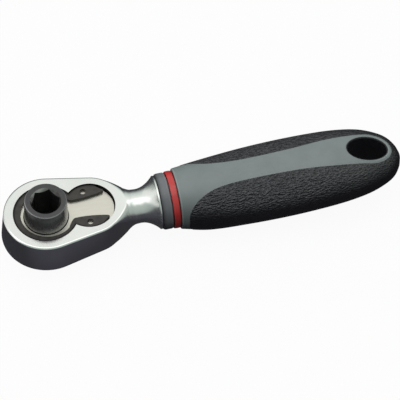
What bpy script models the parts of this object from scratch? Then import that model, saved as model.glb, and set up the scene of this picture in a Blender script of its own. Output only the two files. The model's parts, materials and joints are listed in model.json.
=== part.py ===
"""Bit ratchet: a straight mini ratchet for hexagon bits, built from separate pieces.

Units are metres and +Z is up. The drive turns about Z through the origin, with its socket
facing up, and the neck and handle run along +X. The origin lies on the face that the bit's
end rests on.
"""
import math

import bmesh
import bpy
from mathutils import Vector

MM = 0.001
WELD = 0.001 * MM
FLAT_ANGLE = math.radians(0.2)

# Clearances between pieces
SEAT_GAP = 0.10 * MM
RUNNING_GAP = 0.10 * MM
TOOTH_GAP = 0.07 * MM

# How far past a surface a cutter reaches
OVERCUT = 2.0 * MM

# Drive: socket, gear and lower journal
HEX_ACROSS_FLATS = 6.4 * MM
HEX_TURN = math.radians(4.5)
COUNTERSINK_WIDTH = 0.65 * MM
SOCKET_RIM = 1.4 * MM
SOCKET_HEIGHT = 5.5 * MM
SOCKET_EDGE = 0.35 * MM
GEAR_STEP = 1.75 * MM
TOOTH_COUNT = 60
TOOTH_DEPTH = 0.33 * MM
JOURNAL_WALL = 1.0 * MM
MAGNET_RADIUS = 2.5 * MM
MAGNET_HEIGHT = 2.9 * MM
O_RING_SECTION = 0.6 * MM
O_RING_SQUEEZE_GAP = 0.03 * MM

# Head
HEAD_THICKNESS = 8.8 * MM
HEAD_TOP_EDGE = 0.6 * MM
HEAD_BOTTOM_EDGE = 0.4 * MM
HEAD_FRONT_DRAFT = 0.4 * MM
HEAD_FRONT_WALL = 2.8 * MM
HEAD_REAR_WALL = 2.05 * MM
FLOOR_THICKNESS = 1.4 * MM
GEAR_ROOM = 0.5 * MM
GEAR_SHELF = 0.7 * MM
PAWL_SHELF = 0.45 * MM

# Neck and tang
NECK_RADIUS = 4.34 * MM
NECK_LENGTH = 8.7 * MM
NECK_RIM_RADIUS = 6.85 * MM
NECK_ROOT_FLARE = 1.95 * MM
NECK_FLAT_DROP = 0.05 * MM
TANG_ACROSS_FLATS = 7.0 * MM
TANG_TO_HOLE_WALL = 9.0 * MM

# Cover plate and retaining ring
COVER_THICKNESS = 1.05 * MM
COVER_HOLE_GAP = 0.2 * MM
RING_THICKNESS = 0.75 * MM
RING_SUNK = 0.3 * MM
RING_WIDTH = 1.7 * MM
RING_GROOVE_DEPTH = 0.35 * MM
RING_SHOULDER = math.radians(9)
RING_INNER_END = math.radians(49)
LUG_CUSP_CLEAR = math.radians(2)
LUG_HOLE_RADIUS = 0.62 * MM
LUG_HOLE_DISTANCE = 3.6 * MM
LUG_INNER_OFFSET = 2.65 * MM
LUG_LENGTH = 8.6 * MM
LUG_ARC_END = 0.53

# Pawl, lever, plunger and spring
PAWL_OVERREACH = 0.47 * MM
PAWL_HUB_RADIUS = 4.4 * MM
PAWL_HORN_INNER = 1.9 * MM
PAWL_HORN_OUTER = 3.9 * MM
PAWL_NOTCH_TO_GEAR = 0.75 * MM
PAWL_NOTCH_WALL = 0.55 * MM
PAWL_ROCK = math.radians(5.5)
LEVER_THROW = math.radians(22)
STEM_RADIUS = 2.5 * MM
STEM_TOP_GAP = 0.4 * MM
LEVER_HUB_RADIUS = 4.6 * MM
LEVER_LENGTH = 11.5 * MM
LEVER_TIP_RADIUS = 2.4 * MM
LEVER_THICKNESS = 3.9 * MM
LEVER_EDGE = 0.5 * MM
CLIP_THICKNESS = 0.45 * MM
CLIP_RADIUS = 3.45 * MM
CLIP_GROOVE_DEPTH = 0.45 * MM
CLIP_OPENING = math.radians(80)
PLUNGER_RADIUS = 0.85 * MM
PLUNGER_LENGTH = 1.35 * MM
PLUNGER_TIP_RADIUS = 0.25 * MM
PLUNGER_TIP_LENGTH = 0.55 * MM
PLUNGER_TRAVEL = 0.3 * MM
SPRING_LENGTH = 2.3 * MM
SPRING_RADIUS = 0.6 * MM
SPRING_WIRE_RADIUS = 0.12 * MM
SPRING_TURNS = 3
SPRING_STEPS = 10

# Collar, marker ring and handle
COLLAR_LENGTH = 2.6 * MM
COLLAR_STEP = 0.2 * MM
COLLAR_EDGE = 0.35 * MM
MARKER_LENGTH = 1.8 * MM
MARKER_STEP = 0.15 * MM
MARKER_WALL = 0.9 * MM
MARKER_CROWN = 0.12 * MM
MARKER_CROWN_SHARE = 0.3
HANDLE_LENGTH = 56.9 * MM
HANDLE_HALF_WIDTH = 9.87 * MM
HANDLE_HALF_HEIGHT = 7.6 * MM
HANDLE_LIFT = 0.95 * MM
HANDLE_EDGE = 0.35 * MM
GRIP_WALL = 2.0 * MM
GRIP_END_WALL = 2.2 * MM
STRIP_HALF_WIDTH = 3.2 * MM
STRIP_END_MARGIN = 2.1 * MM
HOLE_LENGTH = 9.8 * MM
HOLE_WIDTH = 6.4 * MM
HOLE_RIM = 1.3 * MM
HOLE_END_RIM = 1.0 * MM
HOLE_ROUNDING = 0.4 * MM
HOLE_FLARE = 2.6 * MM
HOLE_STRAIGHT = 8.6 * MM

# Facets
ROUND_SEGMENTS = 48
NECK_SEGMENTS = 32
SMALL_SEGMENTS = 24
PIN_SEGMENTS = 16
O_RING_SIDES = 6
RING_SEGMENTS = 18
LUG_SEGMENTS = 7
STRIP_END_SEGMENTS = 8
HANDLE_SEGMENTS = 32
HANDLE_SECTIONS = 18
HANDLE_CROWDING = 1.5
INSIDE_SECTIONS = 8
CURVE_STEPS = 2
LUG_CURVE_STEPS = 3

# Where the middle of a rounded edge lies, as a share of its radius
EDGE_MIDDLE = 1 - math.sqrt(0.5)

# Neck from its rim to its waist: share of its length, then share of the rim's flare
NECK_RIM_SHAPE = (
    (0.00, 1.00),
    (0.03, 0.82),
    (0.08, 0.46),
    (0.30, 0.16),
    (0.58, 0.00),
)

# Neck from its waist into the head: share of its length from the rim, then share of the root's flare
NECK_ROOT_SHAPE = (
    (0.76, 0.09),
    (0.98, 0.46),
    (1.12, 0.74),
    (1.31, 1.00),
)

# Leaf-shaped lug from its outer edge round the tip: share of its length back from the tip, then
# height above its inner edge
LUG_SHAPE = (
    (0.11, 2.07 * MM),
    (0.01, 1.47 * MM),
    (0.04, 0.95 * MM),
    (0.27, 0.50 * MM),
    (0.60, 0.10 * MM),
    (0.90, 0.00 * MM),
    (1.04, 0.25 * MM),
    (1.18, 1.85 * MM),
)

# Shape of the handle: share of its length, then width, height and lift as shares of the greatest
HANDLE_SHAPE = (
    (0.000, 0.735, 0.970, 0.00),
    (0.125, 0.858, 1.070, -0.66),
    (0.300, 0.964, 1.020, -0.21),
    (0.477, 1.000, 1.000, 0.26),
    (0.652, 0.974, 0.974, 0.74),
    (0.758, 0.928, 0.895, 0.95),
    (0.845, 0.839, 0.776, 1.00),
    (0.916, 0.680, 0.618, 0.84),
    (0.960, 0.507, 0.470, 0.63),
    (0.989, 0.270, 0.260, 0.53),
    (1.000, 0.080, 0.080, 0.53),
)
SECTION_POWER = 2.3

# Widening of the hang hole towards its faces, in shares of the flare's depth
HOLE_FLARE_STEPS = (0.0, 0.7, 1.3, 3.3)

# Half width of the grey strip: share of the handle's length, then share of its narrowest half width
STRIP_SHAPE = (
    (-0.040, 3.00),
    (0.010, 2.60),
    (0.035, 2.28),
    (0.062, 1.95),
    (0.095, 1.65),
    (0.150, 1.28),
    (0.220, 1.08),
    (0.300, 1.00),
    (0.420, 1.00),
    (0.560, 1.09),
    (0.700, 1.30),
)

# Heights
HEAD_TOP = HEAD_THICKNESS / 2
HEAD_BOTTOM = -HEAD_THICKNESS / 2
FLOOR_TOP = HEAD_BOTTOM + FLOOR_THICKNESS
SHELF_TOP = HEAD_TOP - RING_SUNK - RING_THICKNESS - COVER_THICKNESS - 2 * SEAT_GAP
GEAR_LOW = FLOOR_TOP + RUNNING_GAP
GEAR_HIGH = SHELF_TOP - RUNNING_GAP
COVER_LOW = SHELF_TOP + SEAT_GAP
COVER_HIGH = COVER_LOW + COVER_THICKNESS
RING_LOW = COVER_HIGH + SEAT_GAP
RING_HIGH = RING_LOW + RING_THICKNESS
SOCKET_TOP = HEAD_TOP + SOCKET_HEIGHT
CLIP_LOW = FLOOR_TOP + RUNNING_GAP
CLIP_HIGH = CLIP_LOW + CLIP_THICKNESS
PAWL_LOW = CLIP_HIGH + RUNNING_GAP
PAWL_HIGH = SHELF_TOP - RUNNING_GAP
PAWL_MIDDLE = (PAWL_LOW + PAWL_HIGH) / 2
STEM_TOP = PAWL_HIGH - STEM_TOP_GAP
PAWL_CUT_LOW = PAWL_LOW - OVERCUT
PAWL_CUT_HIGH = PAWL_HIGH + OVERCUT
LEVER_HIGH = HEAD_BOTTOM - RUNNING_GAP
LEVER_LOW = LEVER_HIGH - LEVER_THICKNESS
O_RING_MIDDLE = (HEAD_BOTTOM + FLOOR_TOP) / 2

# Radii and places that follow from the driving sizes
COUNTERSINK_RADIUS = HEX_ACROSS_FLATS / 2 + COUNTERSINK_WIDTH
SOCKET_RADIUS = COUNTERSINK_RADIUS + SOCKET_RIM
GEAR_TIP_RADIUS = SOCKET_RADIUS + GEAR_STEP
MAGNET_POCKET_RADIUS = MAGNET_RADIUS + SEAT_GAP
JOURNAL_RADIUS = MAGNET_POCKET_RADIUS + JOURNAL_WALL
O_RING_GROOVE_RADIUS = JOURNAL_RADIUS - O_RING_SECTION - O_RING_SQUEEZE_GAP
BORE_RADIUS = STEM_RADIUS + RUNNING_GAP
CLIP_GROOVE_RADIUS = STEM_RADIUS - CLIP_GROOVE_DEPTH
PIVOT_DISTANCE = GEAR_TIP_RADIUS + PAWL_NOTCH_TO_GEAR + PAWL_NOTCH_WALL + BORE_RADIUS
PIVOT = Vector((PIVOT_DISTANCE, 0, 0))
PAWL_HORN_MIDDLE = (PAWL_HORN_INNER + PAWL_HORN_OUTER) / 2
PAWL_TO_GEAR = PIVOT_DISTANCE - math.sqrt(GEAR_TIP_RADIUS**2 - PAWL_HORN_MIDDLE**2)
PAWL_REACH = math.hypot(PAWL_TO_GEAR, PAWL_HORN_MIDDLE) + PAWL_OVERREACH
GEAR_BORE_RADIUS = GEAR_TIP_RADIUS + GEAR_ROOM
POCKET_RADIUS = PAWL_REACH + 1.5 * RUNNING_GAP
RECESS_FRONT_RADIUS = GEAR_BORE_RADIUS + GEAR_SHELF
RECESS_REAR_RADIUS = POCKET_RADIUS + PAWL_SHELF
HEAD_FRONT_RADIUS = RECESS_FRONT_RADIUS + HEAD_FRONT_WALL
HEAD_REAR_RADIUS = RECESS_REAR_RADIUS + HEAD_REAR_WALL
HEAD_REAR_X = PIVOT_DISTANCE + HEAD_REAR_RADIUS
NECK_END_X = HEAD_REAR_X + NECK_LENGTH
COLLAR_RADIUS = NECK_RIM_RADIUS + COLLAR_STEP
MARKER_RADIUS = COLLAR_RADIUS + MARKER_STEP
COLLAR_X = NECK_END_X + SEAT_GAP
MARKER_X = COLLAR_X + COLLAR_LENGTH + SEAT_GAP
HANDLE_X = MARKER_X + MARKER_LENGTH + SEAT_GAP
HANDLE_END_X = HANDLE_X + HANDLE_LENGTH
STRIP_END_X = HANDLE_END_X - STRIP_END_MARGIN
HOLE_X = STRIP_END_X - HOLE_END_RIM - HOLE_LENGTH / 2
TANG_END_X = HOLE_X - HOLE_LENGTH / 2 - TANG_TO_HOLE_WALL
PLUNGER_TIP_X = STEM_RADIUS - RUNNING_GAP / 2
PLUNGER_BACK_X = PLUNGER_TIP_X - PLUNGER_TIP_LENGTH - PLUNGER_LENGTH
PLUNGER_BORE_RADIUS = PLUNGER_RADIUS + RUNNING_GAP / 2
SPRING_X = PLUNGER_BACK_X - SEAT_GAP - SPRING_LENGTH

# A many-sided rod has its first corner on +Y
FIRST_CORNER = math.pi / 2


def clear_scene():
    for scene_object in list(bpy.data.objects):
        bpy.data.objects.remove(scene_object, do_unlink=True)


def new_collection(name):
    collection = bpy.data.collections.new(name)
    bpy.context.scene.collection.children.link(collection)
    return collection


def new_material(name, colour, roughness, metallic):
    material = bpy.data.materials.new(name)
    material.use_nodes = True
    shader = material.node_tree.nodes["Principled BSDF"]
    shader.inputs["Base Color"].default_value = (*colour, 1)
    shader.inputs["Roughness"].default_value = roughness
    shader.inputs["Metallic"].default_value = metallic
    material.diffuse_color = (*colour, 1)
    return material


clear_scene()
PARTS = new_collection("bit_ratchet")
CUTTERS = new_collection("bit_ratchet_cutters")

SATIN_CHROME = new_material("satin_chrome", (0.78, 0.79, 0.76), 0.28, 1.0)
BRIGHT_STEEL = new_material("bright_steel", (0.72, 0.71, 0.66), 0.35, 1.0)
BLACK_STEEL = new_material("black_steel", (0.055, 0.053, 0.052), 0.45, 0.7)
SPRING_STEEL = new_material("spring_steel", (0.35, 0.34, 0.33), 0.3, 1.0)
MAGNET_NICKEL = new_material("magnet_nickel", (0.6, 0.6, 0.58), 0.25, 1.0)
BLACK_RUBBER = new_material("black_rubber", (0.02, 0.02, 0.02), 0.7, 0.0)
GREY_PLASTIC = new_material("grey_plastic", (0.2, 0.22, 0.21), 0.45, 0.0)
RED_PLASTIC = new_material("red_plastic", (0.5, 0.03, 0.025), 0.35, 0.0)
GRIP_BLACK = new_material("grip_black", (0.03, 0.03, 0.032), 0.75, 0.0)


def add_object(name, mesh, cutter=False):
    new_object = bpy.data.objects.new(name, mesh)
    if cutter:
        CUTTERS.objects.link(new_object)
        new_object.hide_render = True
        new_object.display_type = "WIRE"
    else:
        PARTS.objects.link(new_object)
    return new_object


def finish(part, material, smooth_angle=math.radians(35)):
    """Give a part its material and smooth shading."""
    part.data.materials.append(material)
    part.data.shade_smooth()
    part.data.set_sharp_from_angle(angle=smooth_angle)


def boolean(part, tool, operation, solver="EXACT"):
    modifier = part.modifiers.new(tool.name, "BOOLEAN")
    modifier.operation = operation
    modifier.solver = solver
    modifier.object = tool


def cut(part, *tools, solver="EXACT"):
    for tool in tools:
        boolean(part, tool, "DIFFERENCE", solver)


def join(part, *tools, solver="EXACT"):
    for tool in tools:
        boolean(part, tool, "UNION", solver)


def bevel(part, width, segments):
    modifier = part.modifiers.new("edges", "BEVEL")
    modifier.width = width
    modifier.segments = segments
    modifier.limit_method = "ANGLE"
    modifier.angle_limit = math.radians(50)


def arc(centre_x, centre_y, radius, start, end, segments):
    """Points on an arc, both ends included."""
    angles = [start + (end - start) * i / segments for i in range(segments + 1)]
    return [(centre_x + radius * math.cos(a), centre_y + radius * math.sin(a)) for a in angles]


def circle(radius, centre_x=0, centre_y=0, segments=ROUND_SEGMENTS):
    return arc(centre_x, centre_y, radius, 0, math.tau, segments)[:-1]


def hull(front_radius, rear_radius, distance):
    """Outline of two circles on the X axis and their common tangents."""
    turn = math.acos((front_radius - rear_radius) / distance)
    half = ROUND_SEGMENTS // 2
    front = arc(0, 0, front_radius, turn, math.tau - turn, half)
    rear = arc(distance, 0, rear_radius, -turn, turn, half)
    return front + rear


def cusp(front_radius, rear_radius, distance):
    """Place along X where two overlapping circles on the X axis cross."""
    return (front_radius**2 - rear_radius**2 + distance**2) / (2 * distance)


def keyhole(front_radius, rear_radius, distance):
    """Outline of two overlapping circles on the X axis, with a cusp on each side."""
    cusp_x = cusp(front_radius, rear_radius, distance)
    front_turn = math.acos(cusp_x / front_radius)
    rear_turn = math.acos((cusp_x - distance) / rear_radius)
    front = arc(0, 0, front_radius, front_turn, math.tau - front_turn, ROUND_SEGMENTS * 3 // 4)
    rear = arc(distance, 0, rear_radius, -rear_turn, rear_turn, ROUND_SEGMENTS // 2)
    return front + rear[1:-1]


def smooth_line(points, steps):
    """Points on a smooth curve through the given ones."""
    line = []
    for i in range(len(points) - 1):
        before = Vector(points[max(i - 1, 0)])
        start = Vector(points[i])
        end = Vector(points[i + 1])
        after = Vector(points[min(i + 2, len(points) - 1)])
        leave = (end - before) / 2
        arrive = (after - start) / 2
        for step in range(steps):
            t = step / steps
            blend = t * t * (3 - 2 * t)
            point = start.lerp(end, blend) + leave * (t * (1 - t) ** 2) - arrive * (t * t * (1 - t))
            line.append(tuple(point))
    line.append(tuple(points[-1]))
    return line


def plate(name, outlines, low, high, cutter=False):
    """Flat plate between two heights. Outlines after the first are holes in it."""
    curve = bpy.data.curves.new(name + "_outline", "CURVE")
    curve.dimensions = "2D"
    curve.fill_mode = "BOTH"
    curve.extrude = (high - low) / 2
    for outline in outlines:
        spline = curve.splines.new("POLY")
        spline.points.add(len(outline) - 1)
        for point, (x, y) in zip(spline.points, outline):
            point.co = (x, y, 0, 1)
        spline.use_cyclic_u = True
    shape = bpy.data.objects.new(name + "_outline", curve)
    bpy.context.scene.collection.objects.link(shape)
    bpy.context.view_layer.update()
    mesh = bpy.data.meshes.new_from_object(shape.evaluated_get(bpy.context.evaluated_depsgraph_get()))
    bpy.data.objects.remove(shape)
    shape_edit = bmesh.new()
    shape_edit.from_mesh(mesh)
    bmesh.ops.remove_doubles(shape_edit, verts=shape_edit.verts, dist=WELD)
    bmesh.ops.dissolve_limit(
        shape_edit, angle_limit=FLAT_ANGLE, verts=shape_edit.verts, edges=shape_edit.edges
    )
    bmesh.ops.translate(shape_edit, verts=shape_edit.verts, vec=(0, 0, (low + high) / 2))
    shape_edit.to_mesh(mesh)
    shape_edit.free()
    mesh.name = name
    return add_object(name, mesh, cutter)


def turned(name, profile, cutter=False, segments=ROUND_SEGMENTS, along_x=False):
    """Turned solid from (radius, height) points that run from its top to its bottom."""
    mesh = bpy.data.meshes.new(name)
    points = [(radius, 0, height) for radius, height in profile]
    mesh.from_pydata(points, [(i, i + 1) for i in range(len(points) - 1)], [])
    solid = add_object(name, mesh, cutter)
    if along_x:
        solid.rotation_euler.y = math.pi / 2
    screw = solid.modifiers.new("turn", "SCREW")
    screw.steps = segments
    screw.render_steps = segments
    screw.use_merge_vertices = True
    screw.merge_threshold = WELD
    screw.use_smooth_shade = True
    return solid


def rod(name, radius, low, high, segments, top_radius=None, cutter=False):
    """Round, conical or many-sided rod along Z."""
    mesh = bpy.data.meshes.new(name)
    shape = bmesh.new()
    bmesh.ops.create_cone(
        shape,
        cap_ends=True,
        segments=segments,
        radius1=radius,
        radius2=radius if top_radius is None else top_radius,
        depth=high - low,
    )
    bmesh.ops.translate(shape, verts=shape.verts, vec=(0, 0, (low + high) / 2))
    shape.to_mesh(mesh)
    shape.free()
    return add_object(name, mesh, cutter)


def hex_rod(name, across_flats, low, high, cutter=False):
    return rod(name, across_flats / math.sqrt(3), low, high, 6, cutter=cutter)


def lay_along_x(solid):
    solid.rotation_euler.y = math.pi / 2
    return solid


def box(name, low_corner, high_corner, cutter=True):
    mesh = bpy.data.meshes.new(name)
    shape = bmesh.new()
    bmesh.ops.create_cube(shape, size=1)
    low_corner = Vector(low_corner)
    high_corner = Vector(high_corner)
    bmesh.ops.scale(shape, verts=shape.verts, vec=high_corner - low_corner)
    bmesh.ops.translate(shape, verts=shape.verts, vec=(low_corner + high_corner) / 2)
    shape.to_mesh(mesh)
    shape.free()
    return add_object(name, mesh, cutter)


def gear_outline(growth=0):
    """Symmetric V teeth round the drive, with a groove at half a pitch from the X axis."""
    pitch = math.tau / TOOTH_COUNT
    tip = GEAR_TIP_RADIUS + growth
    root = tip - TOOTH_DEPTH
    points = []
    for tooth in range(TOOTH_COUNT):
        for radius, angle in ((tip, tooth * pitch), (root, (tooth + 0.5) * pitch)):
            points.append((radius * math.cos(angle), radius * math.sin(angle)))
    return points


def head_body():
    """Outline of the head lofted from the bottom to the top, with rounded edges and a drafted front."""
    levels = []
    for depth in (0, EDGE_MIDDLE, 1):
        levels.append((HEAD_BOTTOM + depth * HEAD_BOTTOM_EDGE, 0, (1 - depth) ** 2 * HEAD_BOTTOM_EDGE))
    for depth in (1, EDGE_MIDDLE, 0):
        levels.append((HEAD_TOP - depth * HEAD_TOP_EDGE, HEAD_FRONT_DRAFT, (1 - depth) ** 2 * HEAD_TOP_EDGE))
    rings = []
    for height, draft, inset in levels:
        outline = hull(HEAD_FRONT_RADIUS - draft - inset, HEAD_REAR_RADIUS - inset, PIVOT_DISTANCE)
        rings.append([(x, y, height) for x, y in outline])
    return loft("head", rings)


def head_neck():
    """Turned neck, flat above and below where it runs into the head."""
    rim_flare = NECK_RIM_RADIUS - NECK_RADIUS
    points = []
    for share, flare in NECK_RIM_SHAPE:
        points.append((NECK_RADIUS + rim_flare * flare, NECK_END_X - NECK_LENGTH * share))
    waist_x = points[-1][1]
    for share, flare in NECK_ROOT_SHAPE:
        points.append((NECK_RADIUS + NECK_ROOT_FLARE * flare, NECK_END_X - NECK_LENGTH * share))
    profile = [(0, NECK_END_X)] + smooth_line(points, CURVE_STEPS) + [(0, points[-1][1])]
    neck = turned("head_neck", profile, cutter=True, segments=NECK_SEGMENTS, along_x=True)
    flat = HEAD_TOP - NECK_FLAT_DROP
    side = HEAD_REAR_RADIUS
    top = box("head_neck_top", (0, -side, flat), (waist_x, side, flat + NECK_RIM_RADIUS))
    bottom = box("head_neck_bottom", (0, -side, -flat - NECK_RIM_RADIUS), (waist_x, side, -flat))
    cut(neck, top, bottom)
    return neck


def build_head():
    head = head_body()
    tang = hex_rod("head_tang", TANG_ACROSS_FLATS, NECK_END_X - OVERCUT, TANG_END_X, cutter=True)
    join(head, head_neck(), lay_along_x(tang))

    recess_outline = keyhole(RECESS_FRONT_RADIUS, RECESS_REAR_RADIUS, PIVOT_DISTANCE)
    cavity_outline = keyhole(GEAR_BORE_RADIUS, POCKET_RADIUS, PIVOT_DISTANCE)
    recess = plate("cover_recess", [recess_outline], SHELF_TOP, HEAD_TOP + OVERCUT, cutter=True)
    cavity = plate("gear_cavity", [cavity_outline], FLOOR_TOP, HEAD_TOP, cutter=True)
    groove_radius = RECESS_FRONT_RADIUS + RING_GROOVE_DEPTH
    groove_low = RING_LOW - SEAT_GAP
    groove_high = RING_HIGH + SEAT_GAP
    groove = rod("ring_groove", groove_radius, groove_low, groove_high, ROUND_SEGMENTS, cutter=True)
    bore_low = HEAD_BOTTOM - OVERCUT
    bore_high = FLOOR_TOP + OVERCUT
    journal_radius = JOURNAL_RADIUS + RUNNING_GAP
    journal_bore = rod("journal_bore", journal_radius, bore_low, bore_high, SMALL_SEGMENTS, cutter=True)
    lever_bore = rod("lever_bore", BORE_RADIUS, bore_low, bore_high, SMALL_SEGMENTS, cutter=True)
    lever_bore.location = PIVOT
    cut(head, recess, cavity, groove, journal_bore, lever_bore, solver="MANIFOLD")
    finish(head, SATIN_CHROME)


def build_drive():
    """Socket, gear and lower journal in one piece."""
    gear_middle = (GEAR_LOW + GEAR_HIGH) / 2
    groove_half = O_RING_SECTION / 2 + O_RING_SQUEEZE_GAP
    drive = turned(
        "drive_gear",
        [
            (0, SOCKET_TOP),
            (SOCKET_RADIUS - SOCKET_EDGE, SOCKET_TOP),
            (SOCKET_RADIUS - SOCKET_EDGE * EDGE_MIDDLE, SOCKET_TOP - SOCKET_EDGE * EDGE_MIDDLE),
            (SOCKET_RADIUS, SOCKET_TOP - SOCKET_EDGE),
            (SOCKET_RADIUS, gear_middle),
            (JOURNAL_RADIUS, gear_middle),
            (JOURNAL_RADIUS, O_RING_MIDDLE + groove_half),
            (O_RING_GROOVE_RADIUS, O_RING_MIDDLE + groove_half),
            (O_RING_GROOVE_RADIUS, O_RING_MIDDLE - groove_half),
            (JOURNAL_RADIUS, O_RING_MIDDLE - groove_half),
            (JOURNAL_RADIUS, HEAD_BOTTOM),
            (0, HEAD_BOTTOM),
        ],
    )
    join(drive, plate("gear_teeth", [gear_outline()], GEAR_LOW, GEAR_HIGH, cutter=True))
    hexagon = hex_rod("bit_hexagon", HEX_ACROSS_FLATS, -SEAT_GAP, SOCKET_TOP + OVERCUT, cutter=True)
    hexagon.rotation_euler.z = HEX_TURN - FIRST_CORNER
    countersink = rod(
        "hexagon_countersink",
        HEX_ACROSS_FLATS / 2,
        SOCKET_TOP - COUNTERSINK_WIDTH,
        SOCKET_TOP + OVERCUT,
        ROUND_SEGMENTS,
        top_radius=COUNTERSINK_RADIUS + OVERCUT,
        cutter=True,
    )
    pocket_low = -MAGNET_HEIGHT - SEAT_GAP
    pocket = rod("magnet_pocket", MAGNET_POCKET_RADIUS, pocket_low, OVERCUT, SMALL_SEGMENTS, cutter=True)
    cut(drive, hexagon, countersink, pocket)
    finish(drive, BLACK_STEEL)
    return drive


def build_magnet(drive):
    magnet = rod("bit_magnet", MAGNET_RADIUS, -MAGNET_HEIGHT, 0, SMALL_SEGMENTS)
    finish(magnet, MAGNET_NICKEL)
    magnet.parent = drive


def build_o_ring(drive):
    bpy.ops.mesh.primitive_torus_add(
        major_segments=SMALL_SEGMENTS,
        minor_segments=O_RING_SIDES,
        major_radius=O_RING_GROOVE_RADIUS + O_RING_SQUEEZE_GAP + O_RING_SECTION / 2,
        minor_radius=O_RING_SECTION / 2,
        location=(0, 0, O_RING_MIDDLE),
    )
    o_ring = bpy.context.object
    o_ring.name = "drive_o_ring"
    o_ring.data.name = "drive_o_ring"
    for collection in list(o_ring.users_collection):
        collection.objects.unlink(o_ring)
    PARTS.objects.link(o_ring)
    finish(o_ring, BLACK_RUBBER)
    o_ring.parent = drive


def build_cover_plate():
    outline = keyhole(RECESS_FRONT_RADIUS - SEAT_GAP, RECESS_REAR_RADIUS - SEAT_GAP, PIVOT_DISTANCE)
    hole = circle(SOCKET_RADIUS + COVER_HOLE_GAP)
    cover = plate("cover_plate", [outline, hole], COVER_LOW, COVER_HIGH)
    finish(cover, BRIGHT_STEEL)


def build_retaining_ring():
    """Sprung ring in the head's groove, open towards the handle, with a leaf-shaped lug at each end."""
    outer = RECESS_FRONT_RADIUS + RING_GROOVE_DEPTH - SEAT_GAP
    shoulder = RECESS_FRONT_RADIUS - SEAT_GAP
    inner = RECESS_FRONT_RADIUS - RING_WIDTH
    lug_radius = RECESS_REAR_RADIUS - 1.5 * SEAT_GAP
    cusp_x = cusp(RECESS_FRONT_RADIUS, RECESS_REAR_RADIUS, PIVOT_DISTANCE)
    cusp_turn = math.acos(cusp_x / RECESS_FRONT_RADIUS)
    ring_end = cusp_turn + RING_SHOULDER
    lug_start = math.acos((cusp_x - PIVOT_DISTANCE) / RECESS_REAR_RADIUS)
    lug_end = lug_start * LUG_ARC_END
    tip_x = cusp_x + LUG_LENGTH
    half = arc(0, 0, outer, math.pi, ring_end, RING_SEGMENTS)
    half += arc(0, 0, shoulder, ring_end, cusp_turn + LUG_CUSP_CLEAR, LUG_CURVE_STEPS)
    half += arc(PIVOT_DISTANCE, 0, lug_radius, lug_start - LUG_CUSP_CLEAR, lug_end, LUG_SEGMENTS)
    leaf = [(tip_x - LUG_LENGTH * share, LUG_INNER_OFFSET + height) for share, height in LUG_SHAPE]
    half += smooth_line([half[-1]] + leaf, LUG_CURVE_STEPS)[1:]
    half += arc(0, 0, inner, RING_INNER_END, math.pi, RING_SEGMENTS)
    mirrored = [(x, -y) for x, y in reversed(half)]
    outline = half[:-1] + mirrored[:-1]
    hole_x = cusp_x + LUG_HOLE_DISTANCE
    hole_y = (LUG_INNER_OFFSET + RECESS_REAR_RADIUS) / 2
    holes = [circle(LUG_HOLE_RADIUS, hole_x, side * hole_y, PIN_SEGMENTS) for side in (1, -1)]
    ring = plate("retaining_ring", [outline] + holes, RING_LOW, RING_HIGH)
    finish(ring, BLACK_STEEL)


def carry(part, tools):
    """Let the shapes that form a part move with it."""
    for tool in tools:
        tool.parent = part


def pawl_dimple(name, angle):
    """Conical seat for the plunger's tip, in the wall of the pawl's bore."""
    tip_x = PLUNGER_TIP_X + PLUNGER_TRAVEL + RUNNING_GAP
    length = PLUNGER_TIP_LENGTH + PLUNGER_TRAVEL
    slope = (PLUNGER_RADIUS - PLUNGER_TIP_RADIUS) / PLUNGER_TIP_LENGTH
    tip_radius = PLUNGER_TIP_RADIUS + RUNNING_GAP
    mouth_radius = tip_radius + slope * length
    dimple = rod(name, mouth_radius, tip_x - length, tip_x, PIN_SEGMENTS, top_radius=tip_radius, cutter=True)
    dimple.rotation_euler = (0, math.pi / 2, angle)
    dimple.location.z = PAWL_MIDDLE
    return dimple


def gear_at_pawl(name, turn):
    """The gear with a tooth clearance, as seen from the pawl when it is rocked the other way."""
    gear = plate(name, [gear_outline(TOOTH_GAP * math.sqrt(2))], PAWL_CUT_LOW, PAWL_CUT_HIGH, cutter=True)
    gear.location = (-PIVOT_DISTANCE * math.cos(turn), -PIVOT_DISTANCE * math.sin(turn), 0)
    gear.rotation_euler.z = turn
    return gear


def build_pawl():
    """Double-ended rocker, drawn about its pivot with both horns clear, then rocked into the gear."""
    pawl = rod("pawl", PAWL_HUB_RADIUS, PAWL_LOW, PAWL_HIGH, SMALL_SEGMENTS)
    bar = box(
        "pawl_bar",
        (-PAWL_REACH, -PAWL_HORN_OUTER, PAWL_LOW),
        (-PAWL_HUB_RADIUS / 2, PAWL_HORN_OUTER, PAWL_HIGH),
    )
    reach = rod("pawl_reach", PAWL_REACH, PAWL_CUT_LOW, PAWL_CUT_HIGH, ROUND_SEGMENTS, cutter=True)
    boolean(bar, reach, "INTERSECT")
    join(pawl, bar)
    notch = box(
        "pawl_notch",
        (-PIVOT_DISTANCE, -PAWL_HORN_INNER, PAWL_CUT_LOW),
        (-BORE_RADIUS - PAWL_NOTCH_WALL, PAWL_HORN_INNER, PAWL_CUT_HIGH),
    )
    bore = rod("pawl_bore", BORE_RADIUS, PAWL_CUT_LOW, PAWL_CUT_HIGH, SMALL_SEGMENTS, cutter=True)
    dimple_angle = LEVER_THROW - PAWL_ROCK
    tools = [
        notch,
        bore,
        gear_at_pawl("gear_at_far_horn", -PAWL_ROCK),
        gear_at_pawl("gear_at_near_horn", PAWL_ROCK),
        pawl_dimple("far_dimple", dimple_angle),
        pawl_dimple("near_dimple", -dimple_angle),
    ]
    cut(pawl, *tools)
    carry(pawl, tools + [bar, reach])
    pawl.location = PIVOT
    pawl.rotation_euler.z = PAWL_ROCK
    finish(pawl, SPRING_STEEL)


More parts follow.
